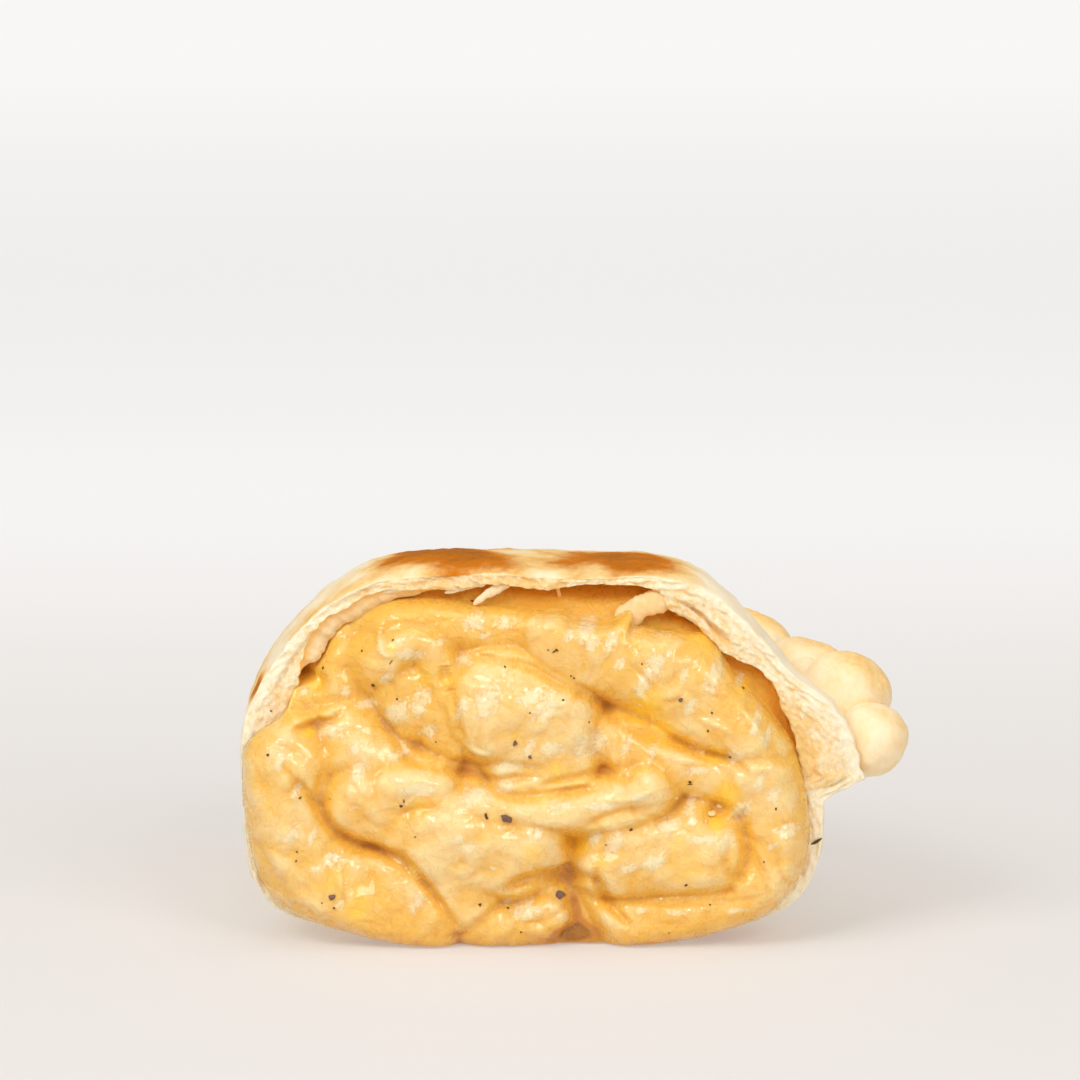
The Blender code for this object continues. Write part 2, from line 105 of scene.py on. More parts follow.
# The rope edge, with its folds set a little closer to the photograph than in the part
SEAM_ANGLES = (
    (0, -4), (0.09, 0), (0.18, 7), (0.33, 12.5), (0.46, 17), (1, 27),
)
ROPE_OUT = 2.2
SEAM_CORE = 1.7
# Distance along the seam, further out, higher, half size along, wide and through, lean in degrees, browning
ROPE_FOLDS = (
    (4.9, 2.6, 0.2, (4, 3.6, 3.1), 66, 0.45),
    (11.6, 1.9, 0, (4.6, 4.2, 4), 60, 1),
    (20.2, 1, -1.4, (4.8, 3.8, 3.6), 60, 0.8),
    (28.4, -0.4, 0.5, (4.8, 3.1, 2.7), 80, 0.9),
    (36.6, 0.2, -0.4, (5.6, 3.6, 3.2), 65, 0.8),
    (44.6, 0.3, 0, (5.6, 3.7, 3.1), 60, 1),
    (52.4, 0.2, -0.3, (5.6, 3.6, 3.1), 60, 0.9),
    (60, 0.2, 0, (5.6, 3.7, 3), 60, 0.8),
    (67.4, 0.2, -0.2, (5.2, 3.6, 3), 60, 1),
    (73.6, -0.3, -0.4, (3.7, 2.7, 2.4), 60, 0.8),
)
FOLD_SLANT, LATER_SLANT = 14.0, 30.0
FOLD_RISE, LATER_RISE = 8.0, 16.0
FIRST_FOLDS = 3  # folds that the photograph shows whole

# The filling presses on the crust, but at the cut it leaves air pockets: degrees round the section, mm from
# the outside of the crust to the filling
FIT_GAP = -0.15
FILLING_AT_CUT = (
    (0, 2.1), (6.5, 3.4), (13, 3.9), (20, 4.1), (25, 4), (29, 3.4), (35, 3.3), (38, 4.4),
    (41, 4.9), (44, 5.6), (51.5, 5.7), (53, 4.8), (55, 3.7), (57, 3.8), (59, 4.6), (66, 4.5),
    (73.5, 3.9), (78, 3.2), (101, 3.2), (112, 3.3), (123, 2.9), (134, 2.4), (148, 2.3),
    (154, 3.3), (159.5, 3.6), (161.5, 5), (163.5, 3), (168, 3.3), (172, 3.6), (176, 2.8),
    (181, 1.5), (190, 1.25), (345, 1.25), (354, 1.75),
)
POCKET_REACH = 5.0
SHORTER_POCKET = (13.0, 11.0, 2.2)  # angle, spread in degrees, how much less deep in mm
TOP_EDGE_SETBACK = 1.6
SAG_FROM, SAG_TO = 156.0, 360.0
FORWARD_BLEND = 14.0
SPREAD_BLEND = 13.0
LIP_REACH = 0.3
LIP_CLEARANCE = 0.5
LIP_BENDS = (  # angle, spread in degrees, how much further out in mm: the slump, the right side and the notch
    (270, 28, 2.4),
    (345, 20, -0.9),
    (283.3, 3.6, -1),
)
TABLE_CLEARANCE = 0.15
INNER_END = 0.985
FOLD_ROUNDNESS = 0.8
STEEPEST = 0.86  # share of a fold's radius past which its side falls straight
FOLD_MELT = 0.15  # mm over which neighbours run into each other
WANDER = 0.8
WANDER_WAVELENGTH = 11.0
# Lumps and folds in mm on the cut: (x, z) of the start, the bend and the end, radius, how far they stand out
FOLDS = {
    "upper_fold_left": ((-12.5, 29.4), (-5, 30.2), (2, 28.8), 2.9, 1.4),
    "upper_fold_right": ((3, 28.4), (13.5, 28), (20.6, 18.6), 4.5, 3.4),
    "centre_lump": ((-3.4, 22.6), (-1, 22.4), (1.8, 21.2), 5, 4.5),
    "left_curl": ((-13.8, 25.9), (-10.8, 30.9), (-7.6, 23.9), 1.9, 2.6),
    "left_curl_core": ((-11.8, 23.8), (-11.4, 23), (-11, 21.9), 2.7, 2.1),
    "curl_foot": ((-8.8, 21.6), (-8.5, 20.6), (-7.8, 19.6), 2.1, 2.3),
    "left_band": ((-18.6, 26.2), (-18.2, 23.9), (-17.6, 21.4), 3.1, 0.8),
    "left_middle_lump": ((-17.2, 19), (-16, 18.4), (-14.6, 17.4), 3.9, 3),
    "bright_lump": ((-12.6, 14.4), (-11.1, 14.9), (-9.6, 14.6), 2.5, 4.4),
    "shoulder_lump": ((-16.4, 13.8), (-13.6, 12.4), (-10.6, 10.6), 3.8, 3.9),
    "lower_left_fold": ((-23.6, 17.4), (-23.8, 5.4), (-10.4, 3.4), 5.2, 4),
    "centre_lower_lump": ((-7.6, 10.6), (-4.7, 10.4), (-1.6, 9.6), 5.5, 5.2),
    "chin_lump": ((-6.6, 6), (-6.1, 5), (-5.8, 4), 3.5, 4),
    "bottom_lump": ((-5, 1.9), (-1.5, 1.4), (1.6, 2.2), 2.5, 3.2),
    "under_lump": ((-1.4, 3.9), (0.4, 4.3), (2.2, 4), 2.8, 1.9),
    "notch_lump": ((5.6, 5.4), (5.8, 3.7), (6.2, 2), 1.8, 1.2),
    "middle_ridge": ((-4.7, 13.6), (3.6, 12.7), (11, 14.7), 1.8, 5),
    "right_lower_lump": ((8.6, 9.2), (12, 8.8), (15.6, 8.6), 4.7, 4.6),
    "right_fold": ((21.4, 15.8), (25.2, 10), (21.4, 5.2), 3.1, 3.6),
    "bottom_roll": ((8.6, 2.4), (15.7, 1.4), (22.4, 4.2), 2.6, 3.4),
    "middle_right_fold": ((7.5, 19.4), (12.9, 16.9), (20, 14.8), 2.9, 2.8),
    "wet_shelf": ((-2, 17), (0.5, 16.4), (4, 17.2), 2.1, 3.7),
    "right_slab": ((21, 23.4), (22.2, 20.4), (22.8, 17), 2.8, 1.8),
}
HOLLOW_LEVEL = -0.8
PITS = {  # middle, radius, depth
    "oil_pit": ((17.1, 12.6), 1.2, 1.6),
    "dark_notch": ((4.1, 10), 1.1, 0.5),
    "left_hole": ((-20.1, 24.9), 0.9, 2),
    "bottom_notch": ((4.2, 1.2), 1.3, 2.5),
}

# The photograph, for places that are named by a pixel of it
MIDDLE_PX, TABLE_PX = 531.0, 947.0
MM_PER_PX = 0.093
CAMERA_ELEVATION = 8.0
CAMERA_DISTANCE = 550.0
CAMERA_TARGET = (0.84, 0.0, 38.2)
LENS, SENSOR = 197.0, 36.0
HALF_PX = 540.0
VIEW_SLOPE = math.tan(math.radians(CAMERA_ELEVATION))

# The double layer of dough at the cut, beside the seam: angle, extra reach
FLANGE = (
    (-9.5, 0), (-7.8, 1), (-6.1, 2.7), (-4.6, 3.9), (-1.1, 3.5), (4.3, 2.6), (9.2, 1.9), (15, 0.3),
    (19, 0),
)
FLANGE_DEPTH = 8.0
# An inner layer of the dough that came loose on the left: degrees round the section, mm
LOOSE_LAYER = (
    (118, 0), (126, 0.8), (133, 1.6), (142, 1.7), (150, 1.9), (155, 2.1), (158.5, 0.9),
    (160.5, 0),
)
LAYER_SETBACK = 0.45

# Fine creases and ridges on the cut: pixels of the photograph, width in mm, depth (or height) in mm
CREASES = {
    "under_upper_roll": (((480, 655), (530, 665), (562, 685), (595, 698), (625, 727)), 0.55, 0.8),
    "under_right_roll": (((625, 727), (668, 741), (701, 749), (731, 757), (748, 772)), 0.6, 1),
    "beside_left_lump": (((380, 716), (390, 730), (406, 760), (441, 771), (487, 779), (540, 775)), 0.5, 0.8),
    "over_left_fold": (
        ((284, 765), (319, 809), (333, 830), (352, 846), (403, 857), (420, 876), (455, 925)), 0.6, 1),
    "left_lump_side": (((319, 773), (318, 792), (323, 812)), 0.5, 0.5),
    "round_centre_lump": (((452, 690), (458, 712), (459, 730), (474, 754)), 0.45, 0.6),
    "beside_curl": (((444, 662), (445, 676), (450, 692)), 0.6, 0.8),
    "overhang": (((500, 889), (522, 881), (548, 876), (590, 878), (602, 885)), 0.8, 1.5),
    "under_chin": (((500, 903), (480, 923), (458, 936)), 0.5, 0.5),
    "over_ridge": (((540, 783), (600, 769), (625, 779), (657, 783)), 0.45, 0.5),
    "under_ridge": (((585, 825), (609, 813), (640, 806), (672, 800)), 0.5, 0.6),
    "orange_cleft": (((564, 832), (574, 845), (575, 864), (563, 876)), 0.8, 0.7),
    "beside_right_lump": (((594, 866), (600, 890), (612, 911), (632, 928)), 0.6, 1),
    "notch": (((568, 884), (574, 905), (578, 920), (577, 945)), 0.6, 1.5),
    "under_right_lump": (((641, 905), (695, 904), (745, 902), (772, 893)), 0.4, 0.3),
    "inside_right_fold": (((733, 834), (726, 856), (728, 873), (746, 883)), 0.5, 0.45),
    "dark_cleft": (((704, 751), (718, 756), (726, 757), (734, 764)), 0.4, 0.7),
    "outer_left_fold": (((252, 838), (270, 872), (293, 905)), 0.6, 0.4),
    "left_tongue_under": (((296, 728), (318, 724), (345, 714)), 0.4, 0.6),
    "slab_left": (((746, 692), (756, 716), (772, 742), (782, 770)), 0.5, 0.4),
}
RIDGES = {
    "hook": (((381, 622), (378, 640), (382, 652), (394, 655)), 0.32, 0.7),
    "tongue": (((288, 722), (304, 715), (322, 712), (342, 704)), 0.5, 0.8),
    "tongue_shine": (((298, 730), (312, 738), (323, 747)), 0.3, 0.4),
    "onion_sliver": (((460, 732), (466, 744), (478, 751), (492, 753)), 0.3, 0.6),
    "wet_edge_left": (((439, 768), (447, 775), (456, 777)), 0.22, 0.4),
    "wet_edge_right": (((458, 775), (472, 781), (488, 783)), 0.22, 0.4),
    "wet_edge_top": (((478, 651), (488, 647), (497, 651)), 0.25, 0.35),
    "wet_edge_roll": (((542, 681), (550, 686), (560, 692)), 0.25, 0.4),
    "wet_edge_low": (((410, 866), (414, 875), (422, 884)), 0.25, 0.4),
    "middle_shelf": (((548, 786), (575, 781), (606, 783)), 0.4, 0.5),
    "ridge_end": (((612, 800), (636, 793), (658, 785)), 0.5, 0.7),
    "right_wrinkle_low": (((700, 718), (718, 722), (734, 734)), 0.35, 0.3),
    "right_wrinkle_top": (((742, 708), (757, 722), (766, 742)), 0.35, 0.4),
    "flake_by_pit": (((728, 818), (738, 808), (748, 802)), 0.4, 0.7),
    "lower_left_streak": (((330, 862), (340, 880), (352, 902)), 0.5, 0.25),
}
# Oily, more orange places: pixel of the middle, radius in mm, strength
OILY_PLACES = (
    (646, 704, 2, 1.15), (664, 728, 1.6, 1), (684, 740, 1.1, 0.7), (727, 793, 1.6, 1.2),
    (716, 826, 0.9, 1), (716, 754, 0.9, 1.1), (744, 688, 0.7, 0.8), (578, 846, 1, 1.2),
    (678, 842, 1.5, 0.6), (600, 864, 0.9, 0.8), (556, 770, 1.1, 0.7), (425, 676, 1.5, 0.7),
    (391, 644, 0.5, 1.1), (447, 680, 0.6, 1), (356, 908, 1.6, 0.9), (358, 892, 1.1, 0.6),
    (534, 854, 1.5, 0.8), (315, 680, 0.8, 1.3), (515, 733, 0.5, 0.8), (752, 676, 1, 0.9),
    (706, 636, 1.2, 0.7), (420, 806, 0.9, 0.6), (308, 732, 0.6, 1), (270, 800, 1.8, 0.35),
    (390, 760, 0.9, 0.4), (600, 640, 2, 0.35), (620, 665, 1.6, 0.5), (570, 612, 2, 0.3),
    (765, 820, 2.2, 0.35), (300, 870, 2, 0.3), (690, 872, 2.8, 0.5), (330, 885, 2.4, 0.5),
    (545, 800, 1.6, 0.45), (604, 905, 1, 0.5),
)
# Places painted with deep shade: pixel of the middle, half width and half height in mm, strength
PAINTED_SHADE_PLACES = (
    (573, 935, 1.9, 0.9, 3),
    (576, 918, 0.4, 0.9, 1.2),
    (562, 882, 3, 0.6, 0.55),
    (716, 755, 1.2, 0.35, 0.5),
    (374, 685, 0.35, 0.4, 1.2),
    (412, 620, 2.6, 0.8, 0.5),
    (476, 610, 1.6, 0.5, 0.4),
    (455, 936, 1.4, 0.3, 0.7),
)
# Places painted with pale highlights on the wet cream: pixel of the middle, half width and half height in mm
PAINTED_HIGHLIGHT_PLACES = (
    (587, 629, 1, 1.3), (569, 632, 0.6, 0.7), (611, 638, 0.8, 1.2), (620, 660, 0.6, 0.7),
    (592, 640, 0.9, 0.9), (655, 662, 1.1, 1.5), (644, 682, 0.8, 1.7), (713, 676, 1, 1.7),
    (684, 672, 0.5, 0.9), (741, 681, 0.6, 0.5), (475, 619, 1.2, 0.9), (505, 620, 1.2, 0.7),
    (410, 652, 1.4, 0.6), (464, 658, 0.9, 0.6), (485, 632, 0.6, 0.4), (397, 712, 1.4, 1.5),
    (366, 702, 1.3, 0.5), (330, 730, 1.3, 0.8), (417, 695, 0.5, 1.4), (303, 690, 0.5, 0.5),
    (420, 702, 0.9, 1.4), (427, 730, 0.9, 0.8), (395, 755, 0.9, 0.5), (463, 705, 0.6, 1.1),
    (486, 700, 1.2, 1.7), (530, 695, 1.4, 0.9), (545, 708, 1.1, 1.5), (553, 746, 1.2, 1),
    (590, 742, 1.8, 1.5), (529, 746, 0.5, 1), (628, 744, 0.5, 1.2), (654, 750, 0.5, 0.9),
    (511, 766, 2, 0.6), (506, 785, 1.1, 0.8), (474, 796, 1.4, 0.9), (420, 789, 2, 0.8),
    (356, 746, 0.6, 0.8), (360, 768, 0.9, 1.2), (292, 834, 0.8, 1), (312, 836, 0.4, 1),
    (332, 860, 0.9, 0.7), (316, 870, 0.8, 0.4), (458, 838, 0.7, 0.5), (468, 846, 1.1, 0.5),
    (536, 834, 0.8, 0.7), (416, 904, 0.8, 1.1), (526, 912, 1.4, 1), (508, 902, 0.5, 0.5),
    (492, 868, 0.5, 0.3), (352, 808, 0.5, 0.3), (699, 770, 1.3, 0.5), (692, 804, 0.8, 1.4),
    (742, 810, 0.9, 1.2), (774, 794, 0.7, 1.3), (760, 780, 0.5, 1.1), (788, 830, 1.5, 0.8),
    (772, 846, 0.5, 0.5), (654, 860, 1.2, 1.2), (704, 840, 1.7, 0.5), (727, 840, 0.8, 1.1),
    (596, 838, 0.7, 0.8), (614, 844, 0.8, 1.3), (628, 868, 1, 0.6), (670, 824, 1.2, 0.7),
    (642, 912, 0.8, 0.3), (676, 914, 1.1, 0.3), (738, 912, 1.3, 0.3), (756, 720, 0.5, 1.3),
    (768, 735, 0.4, 1.3), (600, 806, 1.9, 0.5), (640, 795, 1.2, 0.4), (560, 805, 1.2, 0.4),
    (736, 754, 0.8, 0.9), (690, 704, 0.5, 0.8), (440, 640, 0.7, 0.4), (386, 676, 0.7, 0.8),
    (345, 690, 0.5, 0.6), (280, 760, 0.6, 0.9), (296, 790, 0.5, 1), (340, 905, 0.5, 0.6),
)
HIGHLIGHT_LEAN = 0.35  # how far each of them leans to the right over its height, as a share of it
HIGHLIGHT_FALL = 0.7


def from_srgb(*parts):
    """A linear colour for parts of 0 to 255."""
    shares = [part / 255 for part in parts]
    return tuple(s / 12.92 if s <= 0.04045 else ((s + 0.055) / 1.055) ** 2.4 for s in shares)


def colour_property(name, description, parts):
    colour = {"subtype": "COLOR", "size": 3, "min": 0.0, "max": 1.0, "default": from_srgb(*parts)}
    return FloatVectorProperty(name=name, description=description, **colour)


def length_property(name, description, millimetres):
    length = {"subtype": "DISTANCE", "unit": "LENGTH", "min": 0.0, "default": millimetres * MM}
    return FloatProperty(name=name, description=description, **length)


def share_property(name, description, share):
    part = {"subtype": "FACTOR", "min": 0.0, "max": 1.0, "default": share}
    return FloatProperty(name=name, description=description, **part)


class DoughSettings(bpy.types.PropertyGroup):
    """The baked dough of the crust and its rope edge."""

    pale: colour_property("Pale dough", "Dough that the oven hardly coloured", (253, 236, 204))
    # The golden, browned and darkest colours also paint shade, in the patches on top and in the rope's valleys
    golden: colour_property("Golden dough", "Lightly baked places", (247, 204, 130))
    browned: colour_property("Browned dough", "The most baked places", (206, 116, 6))
    darkest: colour_property("Darkest dough", "The middle of the browned places", (164, 94, 12))
    crumb: colour_property("Crumb", "The torn inside of the dough", (255, 242, 212))
    steamed: colour_property("Steamed dough", "The moist inside of the crust", (250, 200, 112))
    blister_height: length_property("Blister height", "Height of the bumps baked into the dough", 0.14)
    torn_depth: length_property("Torn depth", "How deep the torn rim is frayed", 0.7)
    browning: share_property("Browning", "How far the top has browned", 0.8)


class FillingSettings(bpy.types.PropertyGroup):
    """The creamy filling."""

    cream: colour_property("Cream", "The body of the filling", (246, 190, 80))
    pale_cream: colour_property("Pale cream", "Lumps that stand out", (251, 216, 150))
    oil: colour_property("Oily places", "Where fat gathers", (254, 203, 68))
    # Painted shade: the colour painted into the creases, the shaded places and down to the table
    hollow: colour_property("Hollows", "The bottom of the creases", (198, 114, 26))
    cleft: colour_property("Clefts", "The deepest shade between the lumps", (134, 74, 22))
    # Painted highlight: this pale colour is painted as a thin skin where the wet cream shows highlights
    skin: colour_property("Skin", "Thin pale skin on the lumps", (255, 243, 208))
    wrinkle_height: length_property("Wrinkle height", "Height of the fine wrinkles", 0.13)
    wetness: share_property("Wetness", "How wet the surface shines", 0.8)


class SpeckSettings(bpy.types.PropertyGroup):
    """Bits of pepper, olive and herb in the filling."""

    pepper: colour_property("Pepper", "Ground pepper", (112, 72, 40))
    olive: colour_property("Olive", "Dark bits of olive", (150, 112, 96))
    herb: colour_property("Herb", "Flakes of dried herb", (104, 84, 40))
    speck_scale: FloatProperty(
        name="Speck size", description="Scales every speck", min=0.2, max=3.0, default=0.88
    )


class StageSettings(bpy.types.PropertyGroup):
    """The table, the light and the camera."""

    table: colour_property("Table", "The matt white table", (182, 179, 177))
    key_power: FloatProperty(
        name="Key light", description="Power of the main soft light", unit="POWER", min=0.0, default=2.84
    )
    daylight: FloatProperty(
        name="Daylight", description="Strength of the light from all round", min=0.0, default=0.38
    )


# ---- Shape of the body ----


def bell(angle, middle, spread):
    """1 at one angle round the section, falling to 0 on both sides. All in degrees but the angle."""
    off = (angle - math.radians(middle) + math.pi) % (2 * math.pi) - math.pi
    return np.exp(-((off / math.radians(spread)) ** 2))


def ramp(value, low, high):
    """A smooth step from 0 at low to 1 at high."""
    share = np.clip((value - low) / (high - low), 0, 1)
    return share * share * (3 - 2 * share)


def unit(vectors):
    """Vectors brought to length 1."""
    return vectors / np.linalg.norm(vectors, axis=-1, keepdims=True)


def full_turn(count):
    """Angles once round, evenly spaced."""
    return np.linspace(0, 2 * math.pi, count, endpoint=False)


def hoop(angle, radius):
    """Points on a ring in the plane of the cut, for a field that changes round the section."""
    return radius * np.stack([np.cos(angle), 0 * angle, np.sin(angle)], axis=-1)


def smoothed(line, times):
    """A line of points, evened out between its ends."""
    for _ in range(times):
        line[1:-1] = (line[:-2] + 2 * line[1:-1] + line[2:]) / 4
    return line


def uneven(points, wavelength, seed, waves=24):
    """A smooth uneven field of about -1 to 1, made of plane waves in seeded directions."""
    rng = np.random.default_rng(seed)
    ways = unit(rng.normal(size=(waves, 3)))
    lengths = wavelength * rng.uniform(0.75, 1.5, waves)
    phases = rng.uniform(0, 2 * math.pi, waves)
    turns = points @ (2 * math.pi * ways / lengths[:, None]).T
    return np.sin(turns + phases).sum(axis=-1) / math.sqrt(2 * waves)


def rough(points, wavelength, seed, octaves=4, fall=0.55):
    """An uneven field with finer and finer detail."""
    total = 0.0
    for octave in range(octaves):
        total = total + fall**octave * uneven(points, wavelength / 2**octave, seed + octave)
    return total


def creased(points, wavelength, seed, octaves=3, fall=0.5):
    """A field of rounded lumps of up to 1 with sharp valleys at 0 between them."""
    total = 0.0
    for octave in range(octaves):
        lump = np.minimum(np.abs(uneven(points, wavelength / 2**octave, seed + octave)), 1)
        total = total + fall**octave * lump
    return total


def outline_reach(angle):
    """Reach of the crust's outside from the section's middle, at the cut."""
    upper = np.sin(angle) > 0
    rise = np.where(upper, CUT_HEIGHT - MIDDLE_HEIGHT, MIDDLE_HEIGHT + BASE_SPREAD)
    fullness = np.where(upper, TOP_FULLNESS, BASE_FULLNESS)
    across = np.abs(np.cos(angle)) / (BODY_WIDTH / 2)
    upwards = np.abs(np.sin(angle)) / rise
    reach = (across**fullness + upwards**fullness) ** (-1 / fullness)
    for middle, spread, extra in OUTLINE_BULGES:
        reach = reach + extra * bell(angle, middle, spread)
    return reach


def flattened(height, floor):
    """Heights pressed flat at a floor, with a soft shoulder."""
    above = height - floor
    shoulder = (above + BASE_SOFTNESS) ** 2 / (4 * BASE_SOFTNESS)
    pressed = np.where(above < -BASE_SOFTNESS, 0, shoulder)
    return floor + np.where(above > BASE_SOFTNESS, above, pressed)


def tapered(share, powers):
    """1 at the cut, falling to 0 at the tip."""
    return (1 - share ** powers[0]) ** powers[1]


def tip_shift(share):
    return -TIP_SHIFT * share**TIP_SHIFT_POWER


def tip_lift(share):
    return TIP_LIFT * (np.maximum(share - FLAT_SHARE, 0) / (1 - FLAT_SHARE)) ** 2


def body_points(angle, depth, inset=0.0, tip_inset=0.0, floor=0.0):
    """Points on the body's surface, or on one that lies inset under it: (n, 3) in the section's frame."""
    angle, depth, inset = np.broadcast_arrays(angle, depth, inset)
    share = np.clip(depth / (HALF_LENGTH - tip_inset), 0, 1)
    behind = 1 - np.exp(-np.maximum(depth, 0) / SWELL_REACH)
    sides = np.where(np.cos(angle) > 0, tapered(share, SEAM_SIDE_TAPER), tapered(share, STRAIGHT_SIDE_TAPER))
    wide = (1 + SWELL_ACROSS * behind) * sides
    high = (1 + SWELL_UP * behind) * tapered(share, HEIGHT_TAPER)
    reach = outline_reach(angle)
    across = wide * reach * np.cos(angle)
    upwards = high * reach * np.sin(angle)
    length = np.maximum(np.hypot(across, upwards), 1e-6)
    bare = np.stack([across, depth, upwards], axis=-1)
    length_wanted = length - inset + LUMP_DEPTH * wide * uneven(bare, LUMP_WAVELENGTH, 3)
    kept = np.maximum(length_wanted, 0) / length
    lift = tip_lift(share)
    middle = MIDDLE_HEIGHT * high + lift
    height = flattened(middle + upwards * kept, floor + lift)
    return np.stack([tip_shift(share) + across * kept, depth, height], axis=-1)


def round_the_cut(angle, sizes):
    """A size that is given at some angles round the section, at any angle."""
    turns, values = zip(*sizes)
    near = [np.interp(np.degrees(angle) + bend, turns, values, period=360) for bend in SOFT_BENDS]
    return sum(near) / len(SOFT_BENDS)


def crust_thickness(angle, depth):
    extra = round_the_cut(angle, DOUGH_AT_CUT) - CRUST_THICKNESS
    return CRUST_THICKNESS + extra * (1 - ramp(depth, 0, THICKER_REACH))


def filling_points(angle, depth):
    """Points on the side of the filling, inside the crust."""
    gap = round_the_cut(angle, FILLING_AT_CUT) - round_the_cut(angle, DOUGH_AT_CUT) - FIT_GAP
    middle, spread, less = SHORTER_POCKET
    reach = POCKET_REACH - less * bell(angle, middle, spread)
    inset = crust_thickness(angle, depth) + FIT_GAP + gap * (1 - ramp(depth, 1, reach))
    inner_floor = CRUST_THICKNESS + FIT_GAP
    return body_points(angle, depth, inset, TIP_THICKNESS + FIT_GAP, inner_floor)


# ---- Meshes ----


def mesh_of(name, points, faces, finish=None, fields=None):
    """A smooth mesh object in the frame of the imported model, with a finish and named values at each point."""
    placed = (np.asarray(points, float).reshape(-1, 3) + np.array([BODY_X, CUT_Y, 0.0])) * MM
    mesh = bpy.data.meshes.new(name)
    mesh.from_pydata(placed.tolist(), [], faces)
    for field, values in (fields or {}).items():
        attribute = mesh.attributes.new(field, "FLOAT", "POINT")
        attribute.data.foreach_set("value", np.asarray(values, np.float32).ravel())
    if finish:
        mesh.materials.append(finish)
    mesh.shade_smooth()
    made = bpy.data.objects.new(name, mesh)
    bpy.context.scene.collection.objects.link(made)
    return made


def closed_tube(rings):
    """Points and faces for rings of equal length, closed at both ends by a fan round one more point each."""
    count, around = rings.shape[:2]
    first, last = count * around, count * around + 1
    index = np.arange(count * around).reshape(count, around)
    after = np.roll(index, -1, axis=1)
    sides = np.stack([index[:-1], after[:-1], after[1:], index[1:]], axis=-1).reshape(-1, 4)
    faces = sides.tolist()
    faces += [(first, b, a) for a, b in zip(index[0].tolist(), after[0].tolist())]
    faces += [(last, a, b) for a, b in zip(index[-1].tolist(), after[-1].tolist())]
    middles = [rings[0].mean(axis=0), rings[-1].mean(axis=0)]
    return np.concatenate([rings.reshape(-1, 3), middles]), faces


def ball(segments, rings):
    """Rings of directions from the middle of a ball, and the tilt of each ring."""
    turn = full_turn(segments)[None, :]
    tilt = np.linspace(-math.pi / 2, math.pi / 2, rings + 1)[1:-1, None]
    level = np.sin(tilt) + 0 * turn
    return np.stack([np.cos(tilt) * np.cos(turn), np.cos(tilt) * np.sin(turn), level], axis=-1), tilt


def merged(tubes):
    """Points and faces of several meshes as one."""
    points, faces, count = [], [], 0
    for some_points, some_faces in tubes:
        points.append(some_points)
        faces += [tuple(count + corner for corner in face) for face in some_faces]
        count += len(some_points)
    return np.concatenate(points), faces


def ring_fields(values):
    """Values on the rings of a closed tube, with those of its two end points."""
    return np.concatenate([values.ravel(), [values[0].mean(), values[-1].mean()]])


def along_normals(rings, height):
    """Rings moved along the normals of the surface that they span."""
    around = np.roll(rings, -1, axis=1) - np.roll(rings, 1, axis=1)
    onward = np.gradient(rings, axis=0)
    normal = np.cross(around, onward)
    normal /= np.maximum(np.linalg.norm(normal, axis=-1, keepdims=True), 1e-9)
    return rings + height[..., None] * normal


# ---- Shader building ----


class Socket:
    """A shader output that can stand in a formula: each operation adds a Math node."""

    def __init__(self, look, output):
        self.look = look
        self.output = output

    def __add__(self, other):
        return self.look.maths("ADD", self, other)

    def __sub__(self, other):
        return self.look.maths("SUBTRACT", self, other)

    def __rsub__(self, other):
        return self.look.maths("SUBTRACT", other, self)

    def __mul__(self, other):
        return self.look.maths("MULTIPLY", self, other)

    def __pow__(self, other):
        return self.look.maths("POWER", self, other)

    __radd__ = __add__
    __rmul__ = __mul__


class Look:
    """A procedural finish under construction, round one Principled BSDF."""

    def __init__(self, name):
        self.material = bpy.data.materials.new(name)
        self.material.use_nodes = True
        self.tree = self.material.node_tree
        self.surface = self.tree.nodes["Principled BSDF"]
        metres = self.node("ShaderNodeTexCoord", output="Object")
        scaled = {"Vector": metres, "Scale": 1 / MM}
        self.place = self.node("ShaderNodeVectorMath", {"operation": "SCALE"}, scaled, "Vector")

    def node(self, kind, settings=None, inputs=None, output=0):
        """Adds any node: its settings first, then the values or links of its sockets."""
        made = self.tree.nodes.new(kind)
        for key, value in (settings or {}).items():
            setattr(made, key, value)
        for key, value in (inputs or {}).items():
            self.feed(made.inputs[key], value)
        return Socket(self, made.outputs[output])

    def feed(self, socket, value):
        if isinstance(value, Socket):
            self.tree.links.new(value.output, socket)
        elif hasattr(value, "__len__") and len(value) == 3 and len(socket.default_value) == 4:
            socket.default_value = (*value, 1.0)
        else:
            socket.default_value = value

    def shine(self, **values):
        """Sets the shader's own sockets, by their names with _ for each space."""
        for key, value in values.items():
            self.feed(self.surface.inputs[key.replace("_", " ")], value)

    def maths(self, operation, first, second):
        return self.node("ShaderNodeMath", {"operation": operation}, {0: first, 1: second})

    def field(self, name):
        """A value that the mesh carries at each of its points."""
        return self.node("ShaderNodeAttribute", {"attribute_name": name}, output="Fac")

    def noise(self, wavelength, detail=3.0, roughness=0.55, distortion=0.0):
        """Noise of 0 to 1 with a wavelength in millimetres."""
        inputs = {"Vector": self.place, "Scale": 1 / wavelength, "Detail": detail}
        inputs.update({"Roughness": roughness, "Distortion": distortion})
        return self.node("ShaderNodeTexNoise", inputs=inputs)

    def step(self, value, low, high):
        """A smooth step from 0 at low to 1 at high."""
        inputs = {"Value": value, "From Min": low, "From Max": high}
        return self.node("ShaderNodeMapRange", {"interpolation_type": "SMOOTHSTEP"}, inputs)

    def mix(self, share, first, second):
        """Two colours mixed by a share."""
        return self.node("ShaderNodeMix", {"data_type": "RGBA"}, {0: share, 6: first, 7: second}, 2)

    def bump(self, height, distance, strength):
        """A bumped normal for a height of about 0 to 1, over a distance in millimetres."""
        inputs = {"Height": height, "Distance": distance * MM, "Strength": strength}
        return self.node("ShaderNodeBump", inputs=inputs)


# ---- Crust ----

